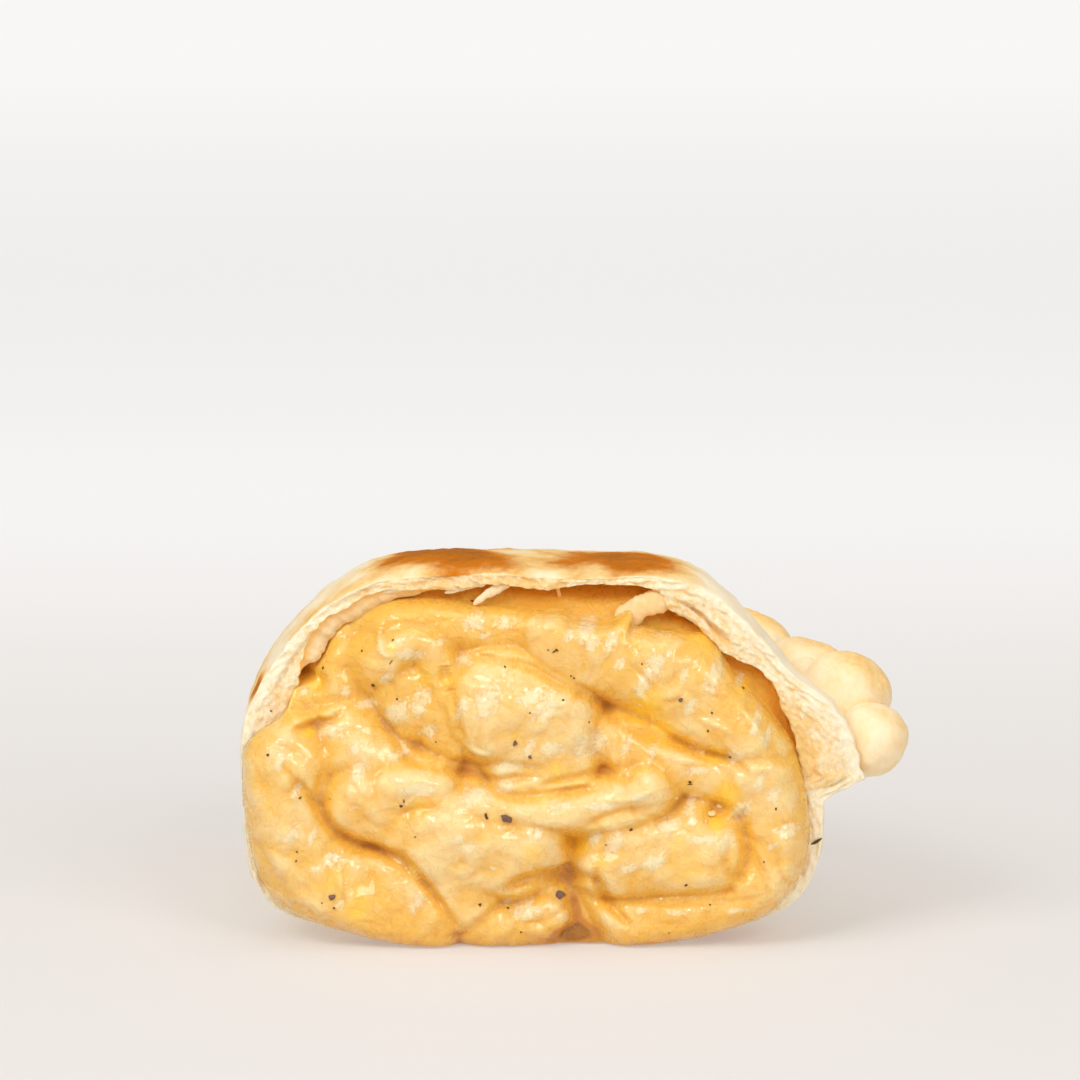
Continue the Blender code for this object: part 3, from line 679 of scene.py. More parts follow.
CRUST_AROUND = 800
RIM_ROWS = 30
NEAR_RIM_ROWS, NEAR_RIM_DEPTH = 20, 6.0
OUTER_ROWS = 43
INNER_ROWS, INNER_DEPTH = 12, 20.0
RIM_ROUNDING, ROUNDED_SHARE = 0.3, 0.18
ROLL_SHARE, ROLL_DEPTH = 0.3, 1.2  # along the top the skin rolls in over this share of the rim
ROLL_PLACES = ((78, 30), (118, 22))
FLANGE_FRAYING, FLANGE_TEETH = 0.10, 2.6
OUTER_FADE, INNER_FADE = 3.0, 1.2  # mm over which the rim's unevenness fades outside and inside
RAGGED, RAGGED_FADE = 0.2, 1.5
OUTER_END = 0.997
BLISTER_COUNT, BLISTER_SHARE = 260, 0.9
PIMPLE_SHARE, PIMPLE_SIZE = 0.55, 3.2
STEAMED_HEIGHT, STEAMED_SIZE = 0.10, 1.8
LEAF_THICKNESS = 0.34
CRUMB_SIZE, CRUMB_HEIGHT = 0.7, 0.11
GOLDEN_INWARD, GOLDEN_TOP = 0.048, 0.14  # how much more golden the rim is a mm further in, and along the top
TOP_MIDDLE, TOP_SPREAD = 95.0, 45.0
# Slits between the layers at the rim: from and to degrees, mm under the skin at both ends, depth in mm
SPLITS = (
    (29, 46, 2.7, 2.3, 0.9),
    (17, 28, 1.2, 1, 0.35),
    (131, 147, 0.75, 0.6, 0.5),
    (150, 166, 1.1, 1.7, 0.5),
)
SPLIT_WIDTH = 0.26
PAINTED_GLOW_THROUGH = (0.07, 0.036, 0.001)  # painted light: the glow of the steamed inside, standing in for light that thin dough lets through
TOP_BAKED, TIP_BAKED, LEFT_BAKED, FOOT_BAKED = 0.62, 0.7, 0.35, 0.8
MOTTLE_HEIGHT, MOTTLE_SIZE = 0.34, 10.0
MOST_BAKED = 1.4
# Brown patches; the three on top, at 60, 106 and 118 degrees, are partly browning and partly painted shade.
# Angle, spread in degrees, depth behind the cut, spread in mm, strength
BROWN_AND_SHADE_PATCHES = (
    (60, 12, 6.5, 6.5, 1.3),
    (118, 15, 10, 8.5, 1.5),
    (106, 8, 6, 4, 0.8),
    (167, 3.4, 1.4, 1.9, 1.55),
    (36, 13, 4, 9, -0.3),
    (205, 22, 0, 4, 0.25),
    (320, 30, 0, 3, 0.3),
)


def flange_reach(angle, depth):
    """Extra reach of the double layer of dough at the seam, which fades behind the cut."""
    turn = (np.degrees(angle) + 180) % 360 - 180
    places, reaches = zip(*FLANGE)
    frayed = 1 + FLANGE_FRAYING * rough(hoop(angle, 20), FLANGE_TEETH, 24, octaves=2)
    return np.interp(turn, places, reaches) * frayed * (1 - ramp(depth, 1.5, FLANGE_DEPTH))


def loose_layer(angle, depth):
    """Thickness of the inner layer that hangs under the crust, a little behind the cut."""
    layer = round_the_cut(angle, LOOSE_LAYER)
    return layer * ramp(depth, LAYER_SETBACK, LAYER_SETBACK + 0.4) * (1 - ramp(depth, 4, 8))


def ragged_edge(angle):
    """How far the torn inner edge of the rim strays from the dough's even thickness, in mm."""
    line = hoop(angle, 20)
    torn = ramp(uneven(line, 11.0, 25), -0.6, 0.9)
    fine = 0.7 * uneven(line, 1.9, 22) + 1.1 * (creased(line, 1.5, 23, octaves=2) - 0.6)
    return RAGGED * (uneven(line, 5.5, 21) + torn * fine)


def rolled(angle):
    """1 along the top of the cut, where the skin rolls in over the rim, falling to 0 at the sides."""
    return np.maximum(*[bell(angle, *place) for place in ROLL_PLACES])


def splits(angle, across):
    """Depth of the slits between the dough's layers, at a distance under the skin."""
    turn = np.degrees(angle) % 360
    total = 0 * across
    for start, end, first, last, deep in SPLITS:
        place = (turn - start) / (end - start)
        under = first + (last - first) * place
        taper = np.sqrt(np.clip(4 * place * (1 - place), 0, 1))
        total = total + deep * taper * np.exp(-(((across - under) / SPLIT_WIDTH) ** 2))
    return total


def rim_depth(angle, share, thick, torn_depth):
    """How far behind the cut the rim lies, from its outer edge (share 0) to its inner one (share 1)."""
    angle, across = np.broadcast_arrays(angle, share * thick)
    line = hoop(angle, 22)
    layered = line / 4.0
    layered[..., 1] = across / LEAF_THICKNESS
    coarse = 0.5 + 0.35 * rough(line + across[..., None], 5.0, 31)
    leaves = 0.5 + 0.5 * uneven(layered, 1.6, 32)
    crumbs = uneven(np.stack([line[..., 0], across, line[..., 2]], axis=-1), CRUMB_SIZE, 33)
    top = rolled(angle)
    edge = np.clip(1 - share / (ROUNDED_SHARE + (ROLL_SHARE - ROUNDED_SHARE) * top), 0, 1)
    rounding = (RIM_ROUNDING + (ROLL_DEPTH - RIM_ROUNDING) * top) * (1 - np.sqrt(1 - edge**2))
    frayed = torn_depth * (0.6 * coarse + 0.3 * leaves * (1 - top * (edge > 0)))
    return frayed + CRUMB_HEIGHT * crumbs + rounding + splits(angle, across)


def blisters(points):
    """Height of scattered round bumps, as a share of the highest."""
    rng = np.random.default_rng(41)
    picked = points[rng.integers(0, len(points), BLISTER_COUNT)]
    sizes = rng.uniform(0.5, 1.5, BLISTER_COUNT)
    heights = rng.uniform(0.2, 1.0, BLISTER_COUNT) ** 2
    total = np.zeros(len(points))
    for middle, size, height in zip(picked, sizes, heights):
        squared = ((points - middle) ** 2).sum(axis=1) / size**2
        near = squared < 6
        total[near] = np.maximum(total[near], height * np.exp(-squared[near]))
    return total


def outer_depths():
    """Depths of the rings outside, from the tip to the rim, which has the most of them."""
    turn = np.linspace(0, math.pi / 2, OUTER_ROWS + 1)[1:]
    far = NEAR_RIM_DEPTH + (HALF_LENGTH - NEAR_RIM_DEPTH) * np.sin(turn)
    far[-1] = OUTER_END * HALF_LENGTH
    near = NEAR_RIM_DEPTH * np.linspace(0, 1, NEAR_RIM_ROWS) ** 1.4
    return np.concatenate([far[::-1], near[::-1]])[:, None]


def inner_depths():
    """Depths of the rings inside, from the rim to the tip."""
    first = np.linspace(0, 2 * LAYER_SETBACK + 0.4, 9)[1:, None]
    near_rim = first[-1] + (INNER_DEPTH - first[-1]) * np.linspace(0, 1, INNER_ROWS + 1)[1:, None] ** 1.3
    length = HALF_LENGTH - TIP_THICKNESS
    turn = np.linspace(math.asin(INNER_DEPTH / length), math.pi / 2, 9)[1:-1, None]
    return np.concatenate([first, near_rim, length * np.sin(turn), [[INNER_END * length]]])


def crust_rings(settings):
    """Rings of points from the outer tip to the rim, across it, and back inside to the inner tip."""
    angle = full_turn(CRUST_AROUND)[None, :]
    torn_depth = settings.torn_depth / MM
    ragged = ragged_edge(angle)

    depth = outer_depths()
    edge = rim_depth(angle, 0 * angle, 0 * angle + 1, torn_depth)
    outer = body_points(angle, depth + edge * np.exp(-depth / OUTER_FADE), -flange_reach(angle, depth))

    share = np.linspace(0, 1, RIM_ROWS + 1)[1:, None]
    thick = crust_thickness(angle, 0.0) + ragged
    flange = flange_reach(angle, 0.0)
    behind = rim_depth(angle, share, thick + flange, torn_depth)
    rim = body_points(angle, behind, share * thick - (1 - share) * flange, 0.0, share * CRUST_THICKNESS)

    inner_depth = inner_depths()
    pulled = inner_depth + behind[-1:] * np.exp(-inner_depth / INNER_FADE)
    inset = crust_thickness(angle, inner_depth) + ragged * np.exp(-inner_depth / RAGGED_FADE)
    loose = loose_layer(angle, inner_depth)
    inset = inset + loose * (1 + 0.5 * ragged)
    inner = body_points(angle, pulled, inset, TIP_THICKNESS, CRUST_THICKNESS)

    skin = 1 - ramp(share - ROLL_SHARE * rolled(angle) - 0.3 * ragged, -0.09, 0.09)
    crumbly = 0.75 * ramp(loose, 0.2, 1.0) * (1 - ramp(inner_depth, 2, 5))
    dry = np.zeros(outer.shape[:2])
    torn = np.concatenate([dry, 1 - skin, crumbly])
    steamed = np.concatenate([dry, 0 * skin, 1 - crumbly])
    layer = np.concatenate([dry, share * (thick + flange), thick + loose])
    return np.concatenate([outer, rim, inner]), angle, torn, steamed, layer


def browning(points, angle, outer, share):
    """How baked the outside is at each point, with painted shade in the patches on top: 0 is pale, 1 is brown
    and MOST_BAKED the darkest.
    """
    depth = points[..., 1]
    total = MOTTLE_HEIGHT * rough(points, MOTTLE_SIZE, 51, octaves=4, fall=0.5) - 0.04
    total = total + share * (TOP_BAKED * bell(angle, 96, 34) + TIP_BAKED * ramp(depth, 22, 50))
    total = total + LEFT_BAKED * bell(angle, 172, 26) + FOOT_BAKED * np.exp(-points[..., 2] / 1.6)
    for middle, spread, deep, reach, strength in BROWN_AND_SHADE_PATCHES:
        total = total + strength * bell(angle, middle, spread) * np.exp(-(((depth - deep) / reach) ** 2))
    return np.clip(total, 0, MOST_BAKED) * outer


def make_crust(settings):
    rings, angle, torn, steamed, layer = crust_rings(settings)
    toasted = GOLDEN_INWARD * layer + GOLDEN_TOP * bell(angle, TOP_MIDDLE, TOP_SPREAD)
    outer = np.clip(1 - torn - steamed, 0, 1)

    flat = rings.reshape(-1, 3)
    bumps = PIMPLE_SHARE * rough(flat, PIMPLE_SIZE, 61, octaves=4) + BLISTER_SHARE * blisters(flat)
    bumps = bumps.reshape(outer.shape)
    depth = rings[..., 1]
    calm = outer * ramp(depth, -0.6, 1.0) * ramp(rings[..., 2], 0.05, 1.5) * (1 - ramp(depth, 49, 51.5))
    height = settings.blister_height / MM * bumps * calm
    wavy = rough(flat, STEAMED_SIZE, 65, octaves=3).reshape(outer.shape)
    height += steamed * STEAMED_HEIGHT * wavy
    rings = along_normals(rings, height)

    fields = {"torn": torn, "steamed": steamed, "layer": layer, "toasted": toasted}
    # The browned values hold painted shade in the patches on top
    fields["browned"] = browning(rings, angle, outer, settings.browning)
    fields = {name: ring_fields(values) for name, values in fields.items()}
    return mesh_of("crust_body", *closed_tube(rings), dough_look(settings), fields)


def baked_dough(settings):
    """The crust's own finish, for the pieces of dough beside it."""
    return bpy.data.materials.get("baked_dough") or dough_look(settings)


def dough_look(settings):
    """Baked dough, pale, golden and browned by the mesh's values (partly painted shade), with a torn crumb, a
    floury grain and a painted inner glow.
    """
    look = Look("baked_dough")
    browned = look.field("browned")
    torn = look.field("torn")
    steamed = look.field("steamed")
    mottle = look.noise(2.6, 5, 0.62)
    speckle = look.noise(0.55, 3, 0.6)
    flecked = (mottle - 0.5) * 0.55 + (speckle - 0.5) * 0.3
    # The browned values hold painted shade too: the patches on top and the rope's valleys
    baked = browned * 1.1 + flecked * (browned * 0.9 + 0.8)
    colour = look.mix(look.step(baked, -0.1, 0.62), settings.pale, settings.golden)
    colour = look.mix(look.step(baked, 0.4, 1.2), colour, settings.browned)
    colour = look.mix(look.step(baked, 1.05, 1.9), colour, settings.darkest)
    drift = look.noise(2.2, 4, 0.6)
    across = {"W": look.field("layer") * 1.5 + drift * 3.0, "Scale": 1.0, "Detail": 3.0, "Roughness": 0.6}
    leaves = look.node("ShaderNodeTexNoise", {"noise_dimensions": "1D"}, across)
    fuzz = look.noise(0.5, 4, 0.7)
    crumb_share = leaves * 0.2 + fuzz * 0.45 + look.noise(2.4) * 0.35 - look.field("toasted")
    crumb_share = look.step(crumb_share, 0.24, 0.5)
    colour = look.mix(torn, colour, look.mix(crumb_share, settings.golden, settings.crumb))
    colour = look.mix(steamed * (1.25 - fuzz * 0.5), colour, settings.steamed)
    grain = look.noise(0.35, 4, 0.65)
    height = torn * (leaves * 0.25 + fuzz * 1.1) + (1 - torn) * (grain * 0.45 + mottle * 0.6)
    look.shine(
        Base_Color=colour,
        Roughness=0.62 + mottle * 0.16 - steamed * 0.34,
        Normal=look.bump(height, 0.28, 0.75),
        Subsurface_Weight=0.15,
        Subsurface_Radius=(1.0, 0.7, 0.4),
        Subsurface_Scale=1.6 * MM,
        IOR=1.42,
        Specular_IOR_Level=0.15,
        # Painted light: the steamed inside glows.
        Emission_Color=look.mix(steamed**4, BLACK, PAINTED_GLOW_THROUGH),
        Emission_Strength=1.0,
    )
    return look.material


# ---- Rope edge ----

FOLD_SEGMENTS, FOLD_RINGS = 84, 56
FOLD_FULLNESS = 2.15
FOLD_DENTS = (0.22, 4.5)  # height and wavelength of the dents that fingers pressed
FOLD_GRAIN = (0.05, 1.4)
CORE_AROUND = 48
OVEN_SIDE = (0.5, 0.87)  # shares of outward and upward in the direction that browns most
# The last of these is painted shade in the valleys between the folds; the first two are how baked the rope is
LIGHTLY_BAKED, BAKED_OUTSIDE, VALLEY_SHADE = 0.14, 0.36, 0.24
UP = np.array([0.0, 0.0, 1.0])


def seam_line(steps=200):
    """The rope's centre line from the cut round to the tip, with its outward directions in plan."""
    share = np.sin(np.linspace(0, math.radians(89.0), steps))
    angle = np.radians(np.interp(share, *zip(*SEAM_ANGLES)))
    edge = body_points(angle, share * HALF_LENGTH)
    along = np.gradient(edge, axis=0)
    outward = unit(np.stack([along[:, 1], -along[:, 0], np.zeros(steps)], axis=-1))
    return edge + ROPE_OUT * outward, outward


def turned(axis_from, axis_to, degrees):
    """axis_from turned towards axis_to."""
    angle = math.radians(degrees)
    return math.cos(angle) * axis_from + math.sin(angle) * axis_to


def fold_places(line, outward):
    """The middle, the axes as columns, and the half size of each fold of the rope."""
    walked = np.concatenate([[0], np.cumsum(np.linalg.norm(np.diff(line, axis=0), axis=1))])
    places = []
    for number, (distance, further, higher, half_size, lean, _) in enumerate(ROPE_FOLDS):
        slant = FOLD_SLANT if number < FIRST_FOLDS else LATER_SLANT
        rise = FOLD_RISE if number < FIRST_FOLDS else LATER_RISE
        index = min(int(np.searchsorted(walked, distance)), len(walked) - 1)
        out = outward[index]
        back = np.cross(UP, out)
        long_axis = turned(turned(back, -out, slant), UP, rise)
        level_axis = turned(out, back, slant)
        wide_axis = turned(level_axis, np.cross(level_axis, long_axis), lean)
        axes = np.stack([long_axis, wide_axis, np.cross(long_axis, wide_axis)], axis=1)
        places.append((line[index] + further * out + higher * UP, axes, np.array(half_size)))
    return places


def fold_rings(middle, axes, half_size, seed):
    """Rings of one plump fold, with the soft dents of dough pressed by fingers."""
    way, tilt = ball(FOLD_SEGMENTS, FOLD_RINGS)
    way /= (np.abs(way) ** FOLD_FULLNESS).sum(axis=-1, keepdims=True) ** (1 / FOLD_FULLNESS)
    rings = (way * half_size) @ axes.T + middle
    height = FOLD_DENTS[0] * uneven(rings, FOLD_DENTS[1], seed)
    height = height + FOLD_GRAIN[0] * rough(rings, FOLD_GRAIN[1], seed + 40, octaves=3)
    return along_normals(rings, height * np.cos(tilt) ** 0.5)


def core_rings(line):
    """Rings of the rolled dough under the folds."""
    kept = line[6::2]
    along = unit(np.gradient(kept, axis=0))
    side = unit(np.cross(along, UP))
    upward = np.cross(side, along)
    turn = full_turn(CORE_AROUND)
    round_it = np.cos(turn)[:, None] * side[:, None] - np.sin(turn)[:, None] * upward[:, None]
    return kept[:, None] + SEAM_CORE * round_it


def joined(name, parts):
    """One surface round closed meshes that overlap."""
    first, *others = parts
    group = bpy.data.collections.new("others")
    bpy.context.scene.collection.children.link(group)
    for other in others:
        bpy.context.scene.collection.objects.unlink(other)
        group.objects.link(other)
    change = first.modifiers.new("change", "BOOLEAN")
    change.operation = "UNION"
    change.operand_type = "COLLECTION"
    change.collection = group
    change.solver = "MANIFOLD"
    graph = bpy.context.evaluated_depsgraph_get()
    first.data = bpy.data.meshes.new_from_object(first.evaluated_get(graph))
    first.modifiers.clear()
    for other in others:
        bpy.data.objects.remove(other)
    bpy.data.collections.remove(group)
    first.name = first.data.name = name
    return first


def section_points(made):
    """The vertices of a piece, back in the section's frame."""
    points = np.empty(3 * len(made.data.vertices), np.float32)
    made.data.vertices.foreach_get("co", points)
    return points.reshape(-1, 3).astype(float) / MM - np.array([BODY_X, CUT_Y, 0.0])


def rope_browning_and_shade(points, places):
    """How baked the rope is, most on top of each fold, with painted shade in the valleys between them."""
    browned = np.zeros(len(points))
    nearest = np.full(len(points), np.inf)
    valley = np.full(len(points), np.inf)
    for (middle, axes, half_size), (*_, strength) in zip(places, ROPE_FOLDS):
        local = ((points - middle) @ axes) / half_size
        off = np.abs((np.abs(local) ** FOLD_FULLNESS).sum(axis=1) ** (1 / FOLD_FULLNESS) - 1)
        normal = unit((local / half_size) @ axes.T)
        out = unit(middle - [tip_shift(middle[1] / HALF_LENGTH), middle[1], middle[2]])
        facing = normal @ (OVEN_SIDE[0] * out + OVEN_SIDE[1] * UP)
        closer = off < nearest
        valley = np.where(closer, np.minimum(valley, nearest), np.minimum(valley, off))
        browned[closer] = strength * ramp(facing[closer], 0.4, 1.0)
        nearest[closer] = off[closer]
    # The valleys get painted shade, darker where two folds meet
    baked = np.maximum(BAKED_OUTSIDE * browned, VALLEY_SHADE * np.exp(-valley / 0.08))
    return np.clip(LIGHTLY_BAKED + baked + 0.05 * rough(points, 3.0, 81), 0, 1)


def make_rope_edge(settings):
    line, outward = seam_line()
    places = fold_places(line, outward)
    parts = [mesh_of("core", *closed_tube(core_rings(line)))]
    for number, place in enumerate(places):
        parts.append(mesh_of(f"fold_{number}", *closed_tube(fold_rings(*place, 70 + number))))
    made = joined("rope_edge", parts)
    # The browned values hold painted shade in the valleys between the folds
    attribute = made.data.attributes.new("browned", "FLOAT", "POINT")
    browned = rope_browning_and_shade(section_points(made), places)
    attribute.data.foreach_set("value", browned.astype(np.float32))
    made.data.shade_smooth()
    made.data.materials.clear()
    made.data.materials.append(baked_dough(settings))
    return made


# ---- Torn strands ----

STRAND_TOASTED = 0.1
STRAND_FLATNESS = 0.55
STRAND_LUMPS, STRAND_FUZZ = (0.16, 1.6), (0.10, 0.7)  # height and wavelength in mm
# Pixels of the photograph from the rim down, then in mm at both ends the depth behind the cut and the radius,
# then the steamed share
STRANDS = (
    (((512, 576), (497, 585), (486, 592), (473, 602)), (0.9, 0.4), (0.62, 0.26), 0.2),
    (((490, 574), (472, 581), (459, 585), (444, 590)), (0.7, 0.6), (0.62, 0.2), 0.2),
    (((409, 580), (394, 586), (378, 590)), (0.4, 0.9), (0.5, 0.16), 0.2),
    (((556, 576), (559, 590), (562, 609)), (2, 2.6), (0.22, 0.12), 0.7),
    (((668, 596), (684, 608), (696, 616), (710, 627)), (0.7, 0.7), (0.6, 0.34), 0.2),
    (((690, 600), (672, 594), (654, 599), (640, 605), (628, 614), (617, 626)), (1, 1), (1, 1.25), 0.55),
)


def strand_rings(pixels, depths, radii, seed, steps=48, around=18):
    """Rings of one torn strand of dough, uneven all along and pointed at its far end."""
    share = np.linspace(0, 1, steps)
    corners = np.array([cut_point(*pixel) for pixel in pixels])
    places = np.linspace(0, 1, len(corners))
    x, z = (np.interp(share, places, corners[:, axis]) for axis in (0, 1))
    y = depths[0] + (depths[1] - depths[0]) * share
    line = smoothed(np.stack([x, y, z - VIEW_SLOPE * y], axis=-1), 10)
    side = np.cross(unit(np.gradient(line, axis=0)), [0.0, 1.0, 0.0])
    turn = full_turn(around)
    ends = np.sqrt(np.clip(1 - (2 * share - 1) ** 6, 0.01, 1))
    size = (radii[0] + (radii[1] - radii[0]) * share) * ends
    back = np.array([0.0, STRAND_FLATNESS, 0.0])
    round_it = np.cos(turn)[None, :, None] * side[:, None] - np.sin(turn)[None, :, None] * back
    rings = line[:, None] + size[:, None, None] * round_it
    height = STRAND_LUMPS[0] * uneven(rings, STRAND_LUMPS[1], seed)
    height = height + STRAND_FUZZ[0] * rough(rings, STRAND_FUZZ[1], seed + 20, octaves=2)
    return rings + (np.minimum(size, 1)[:, None] * height)[..., None] * round_it


def make_strands(settings):
    tubes = [closed_tube(strand_rings(*row[:3], 120 + number)) for number, row in enumerate(STRANDS)]
    steamed = np.concatenate([np.full(len(tube[0]), row[3]) for tube, row in zip(tubes, STRANDS)])
    fields = {"torn": 1 - steamed, "steamed": steamed, "toasted": 0 * steamed + STRAND_TOASTED}
    return mesh_of("torn_strands", *merged(tubes), baked_dough(settings), fields)


# ---- Filling ----

FACE_CELLS = 280
LINE_STEP = 0.35
FACE_WAVES = ((0.22, 5.0, 91), (0.10, 2.4, 92))  # height and wavelength in mm, seed
CURD_HEIGHT, CURD_SIZE = 0.3, 6.0
WRINKLE_SIZE = 2.8
LEAST_FORWARD = 0.2
CREASE_SHADE_REACH = 7  # cells of the face over which a crease is told from its surroundings, for the painted crease shade
FOOT_SHADE, FOOT_REACH = 0.75, 2.0  # painted shade: how much darker the cream is painted down to the table, and over how many mm
EDGE_SHARE = 0.1  # the outer share of the face that turns back to the lip
NECK_BEHIND, NECK_FURTHER, FIRST_RING = 0.05, 0.5, 2.6
PAINTED_OIL_GLOW = (0.08, 0.036, 0.0)  # painted light: the glow of the oily places, standing in for light passed through the translucent cream


def cut_point(px, py):
    """x and z on the cut for a pixel of the photograph."""
    return np.array([(px - MIDDLE_PX) * MM_PER_PX, (TABLE_PX - py) * MM_PER_PX])


def distance_to_line(points, start, bend, end, steps=20):
    """Distance from each point to a curved centre line with one bend."""
    share = np.linspace(0, 1, steps)[:, None]
    line = (1 - share) ** 2 * np.array(start) + 2 * share * (1 - share) * np.array(bend)
    line = line + share**2 * np.array(end)
    squared = ((points[:, None, :] - line[None]) ** 2).sum(axis=-1)
    return np.sqrt(squared.min(axis=1))


def on_the_cut(points):
    """Points (x, z) as points of the space."""
    return np.stack([points[:, 0], 0 * points[:, 0], points[:, 1]], axis=-1)


def lumps(points):
    """How far the lumps and folds stand before the cut at each (x, z)."""
    wander = [uneven(on_the_cut(points), WANDER_WAVELENGTH, seed) for seed in (11, 12)]
    moved = points + WANDER * np.stack(wander, axis=-1)
    total = np.exp(np.full(len(points), HOLLOW_LEVEL) / FOLD_MELT)
    for start, bend, end, radius, crest in FOLDS.values():
        away = distance_to_line(moved, start, bend, end) / radius
        near = np.minimum(away, STEEPEST)
        drop = 1 - np.sqrt(1 - near**2) + (away - near) * STEEPEST / np.sqrt(1 - STEEPEST**2)
        height = crest - FOLD_ROUNDNESS * radius * drop
        total += np.exp(height / FOLD_MELT)
    level = FOLD_MELT * np.log(total)
    for middle, radius, depth in PITS.values():
        away = np.linalg.norm(points - np.array(middle), axis=1) / radius
        level = level - depth * np.exp(-(away**2))
    return level


def face_places(pixels):
    """(x, z) on the lumpy cut for pixels of the photograph, which shows what stands forward lower."""
    places = np.array([cut_point(*pixel) for pixel in pixels])
    places[:, 1] += VIEW_SLOPE * np.maximum(lumps(places), 0)
    return places


def traced(pixels):
    """A smooth line over the cut through pixels of the photograph, as points LINE_STEP apart."""
    corners = face_places(pixels)
    lengths = np.linalg.norm(np.diff(corners, axis=0), axis=1)
    walked = np.concatenate([[0], np.cumsum(lengths)])
    steps = np.arange(0, walked[-1], LINE_STEP)
    line = np.stack([np.interp(steps, walked, corners[:, axis]) for axis in (0, 1)], axis=-1)
    return smoothed(line, 6)


def along_line(points, pixels, width):
    """1 on a traced line, falling to 0 within about twice its width, and thinner towards its ends."""
    line = traced(pixels)
    total = np.zeros(len(points))
    reach = 3 * width
    low, high = line.min(axis=0) - reach, line.max(axis=0) + reach
    near = np.flatnonzero(((points > low) & (points < high)).all(axis=1))
    squared = ((points[near, None, :] - line[None]) ** 2).sum(axis=-1)
    closest = squared.argmin(axis=1)
    place = closest / max(len(line) - 1, 1)
    taper = np.sqrt(np.clip(4 * place * (1 - place), 0.04, 1))
    total[near] = taper * np.exp(-squared.min(axis=1) / (width * (0.4 + 0.6 * taper)) ** 2)
    return total


def relief(points, settings):
    """The filling's surface before the cut: lumps, traced creases and ridges, and wrinkles."""
    flat = on_the_cut(points)
    level = lumps(points)
    for pixels, width, deep in CREASES.values():
        level = level - deep * along_line(points, pixels, width)
    for pixels, width, high in RIDGES.values():
        level = level + high * along_line(points, pixels, width)
    wrinkle = settings.wrinkle_height / MM
    drift = np.stack([uneven(flat, 7.0, 94), 0 * level, uneven(flat, 7.0, 95)], axis=-1)
    curds = creased(flat + 1.8 * drift, CURD_SIZE, 96, octaves=2)
    fine = creased(flat + 1.2 * drift, WRINKLE_SIZE, 93, octaves=2, fall=0.4)
    for height, wavelength, seed in FACE_WAVES:
        level = level + height * uneven(flat, wavelength, seed)
    return level + CURD_HEIGHT * (curds - 0.5) + wrinkle * (fine - 0.5)


def face_grid(count):
    """A square grid laid over the unit disc: the reach and the angle of each point."""
    line = np.linspace(-1, 1, count + 1)
    a, b = np.meshgrid(line, line, indexing="ij")
    u, v = a * np.sqrt(1 - b * b / 2), b * np.sqrt(1 - a * a / 2)
    return np.hypot(u, v), np.arctan2(v, u)


def sagging(angle, start, blend):
    """1 where the edge hangs over the crust, rising over a blend that starts some degrees inside the sag."""
    turn = np.degrees(angle) % 360
    left = ramp(turn, SAG_FROM + start, SAG_FROM + start + blend)
    return left * (1 - ramp(turn, SAG_TO - start - blend, SAG_TO - start))


def lip(angle):
    """Reach and depth of the filling's edge round the cut: set back along the top, sagging out below."""
    inside = filling_points(angle, 0 * angle) - [0, 0, MIDDLE_HEIGHT]
    tucked = np.hypot(inside[:, 0], inside[:, 2])
    hanging = outline_reach(angle) - LIP_REACH
    for middle, spread, further in LIP_BENDS:
        hanging = hanging + further * bell(angle, middle, spread)
    forward = sagging(angle, 0, FORWARD_BLEND)
    spread = sagging(angle, FORWARD_BLEND - 2, SPREAD_BLEND)
    depth = (1 - forward) * TOP_EDGE_SETBACK - forward * LIP_CLEARANCE
    return tucked + spread * np.maximum(hanging - tucked, 0), depth


def blurred(grid, cells):
    """A grid smoothed over some cells each way."""
    weights = np.ones(2 * cells + 1) / (2 * cells + 1)
    for axis in (0, 1):
        padded = np.pad(grid, [(cells, cells) if a == axis else (0, 0) for a in (0, 1)], mode="edge")
        grid = np.apply_along_axis(lambda row: np.convolve(row, weights, "valid"), axis, padded)
    return grid


def spots(points, places, lean=0.0, fall=1.0):
    """The strongest of soft spots at each (x, z): pixel of the middle, half width and height, strength."""
    total = np.zeros(len(points))
    middles = face_places([place[:2] for place in places])
    for middle, (_, _, wide, high, strength) in zip(middles, places):
        across, up = (points - middle).T
        squared = ((across - lean * up) / wide) ** 2 + (up / high) ** 2
        total = np.maximum(total, strength * np.exp(-fall * squared))
    return total


def filling_face(settings):
    """The cut face as a square grid of points, the angle of each, and its values for the finish."""
    share, angle = face_grid(FACE_CELLS)
    shape = share.shape
    share, angle = share.ravel(), angle.ravel()
    reach, edge = lip(angle)
    x = share * reach * np.cos(angle)
    z = flattened(MIDDLE_HEIGHT + share * reach * np.sin(angle), TABLE_CLEARANCE)
    turn = np.clip((share - 1 + EDGE_SHARE) / EDGE_SHARE, 0, 1)
    flat = np.stack([x, z], axis=-1)
    level = relief(flat, settings)
    forward = np.maximum(level + edge, LEAST_FORWARD)
    y = edge - forward * np.sqrt(1 - turn**2)
    level = level.reshape(shape)
    # Painted shade: how far each point lies below its surroundings, with the shaded places and the foot
    nearby = blurred(blurred(level, CREASE_SHADE_REACH), CREASE_SHADE_REACH)
    painted_foot_shade = FOOT_SHADE * np.exp(-z / FOOT_REACH)
    oily_places = [(px, py, radius, radius, strength) for px, py, radius, strength in OILY_PLACES]
    highlight_places = [(*place, 1.0) for place in PAINTED_HIGHLIGHT_PLACES]
    fields = {
        "hollow": (nearby - level).ravel() + spots(flat, PAINTED_SHADE_PLACES) + painted_foot_shade,
        "oily": spots(flat, oily_places),
        "painted_highlight": spots(flat, highlight_places, HIGHLIGHT_LEAN, HIGHLIGHT_FALL),
        "level": level.ravel(),
    }
    return np.stack([x, y, z], axis=-1), angle, fields


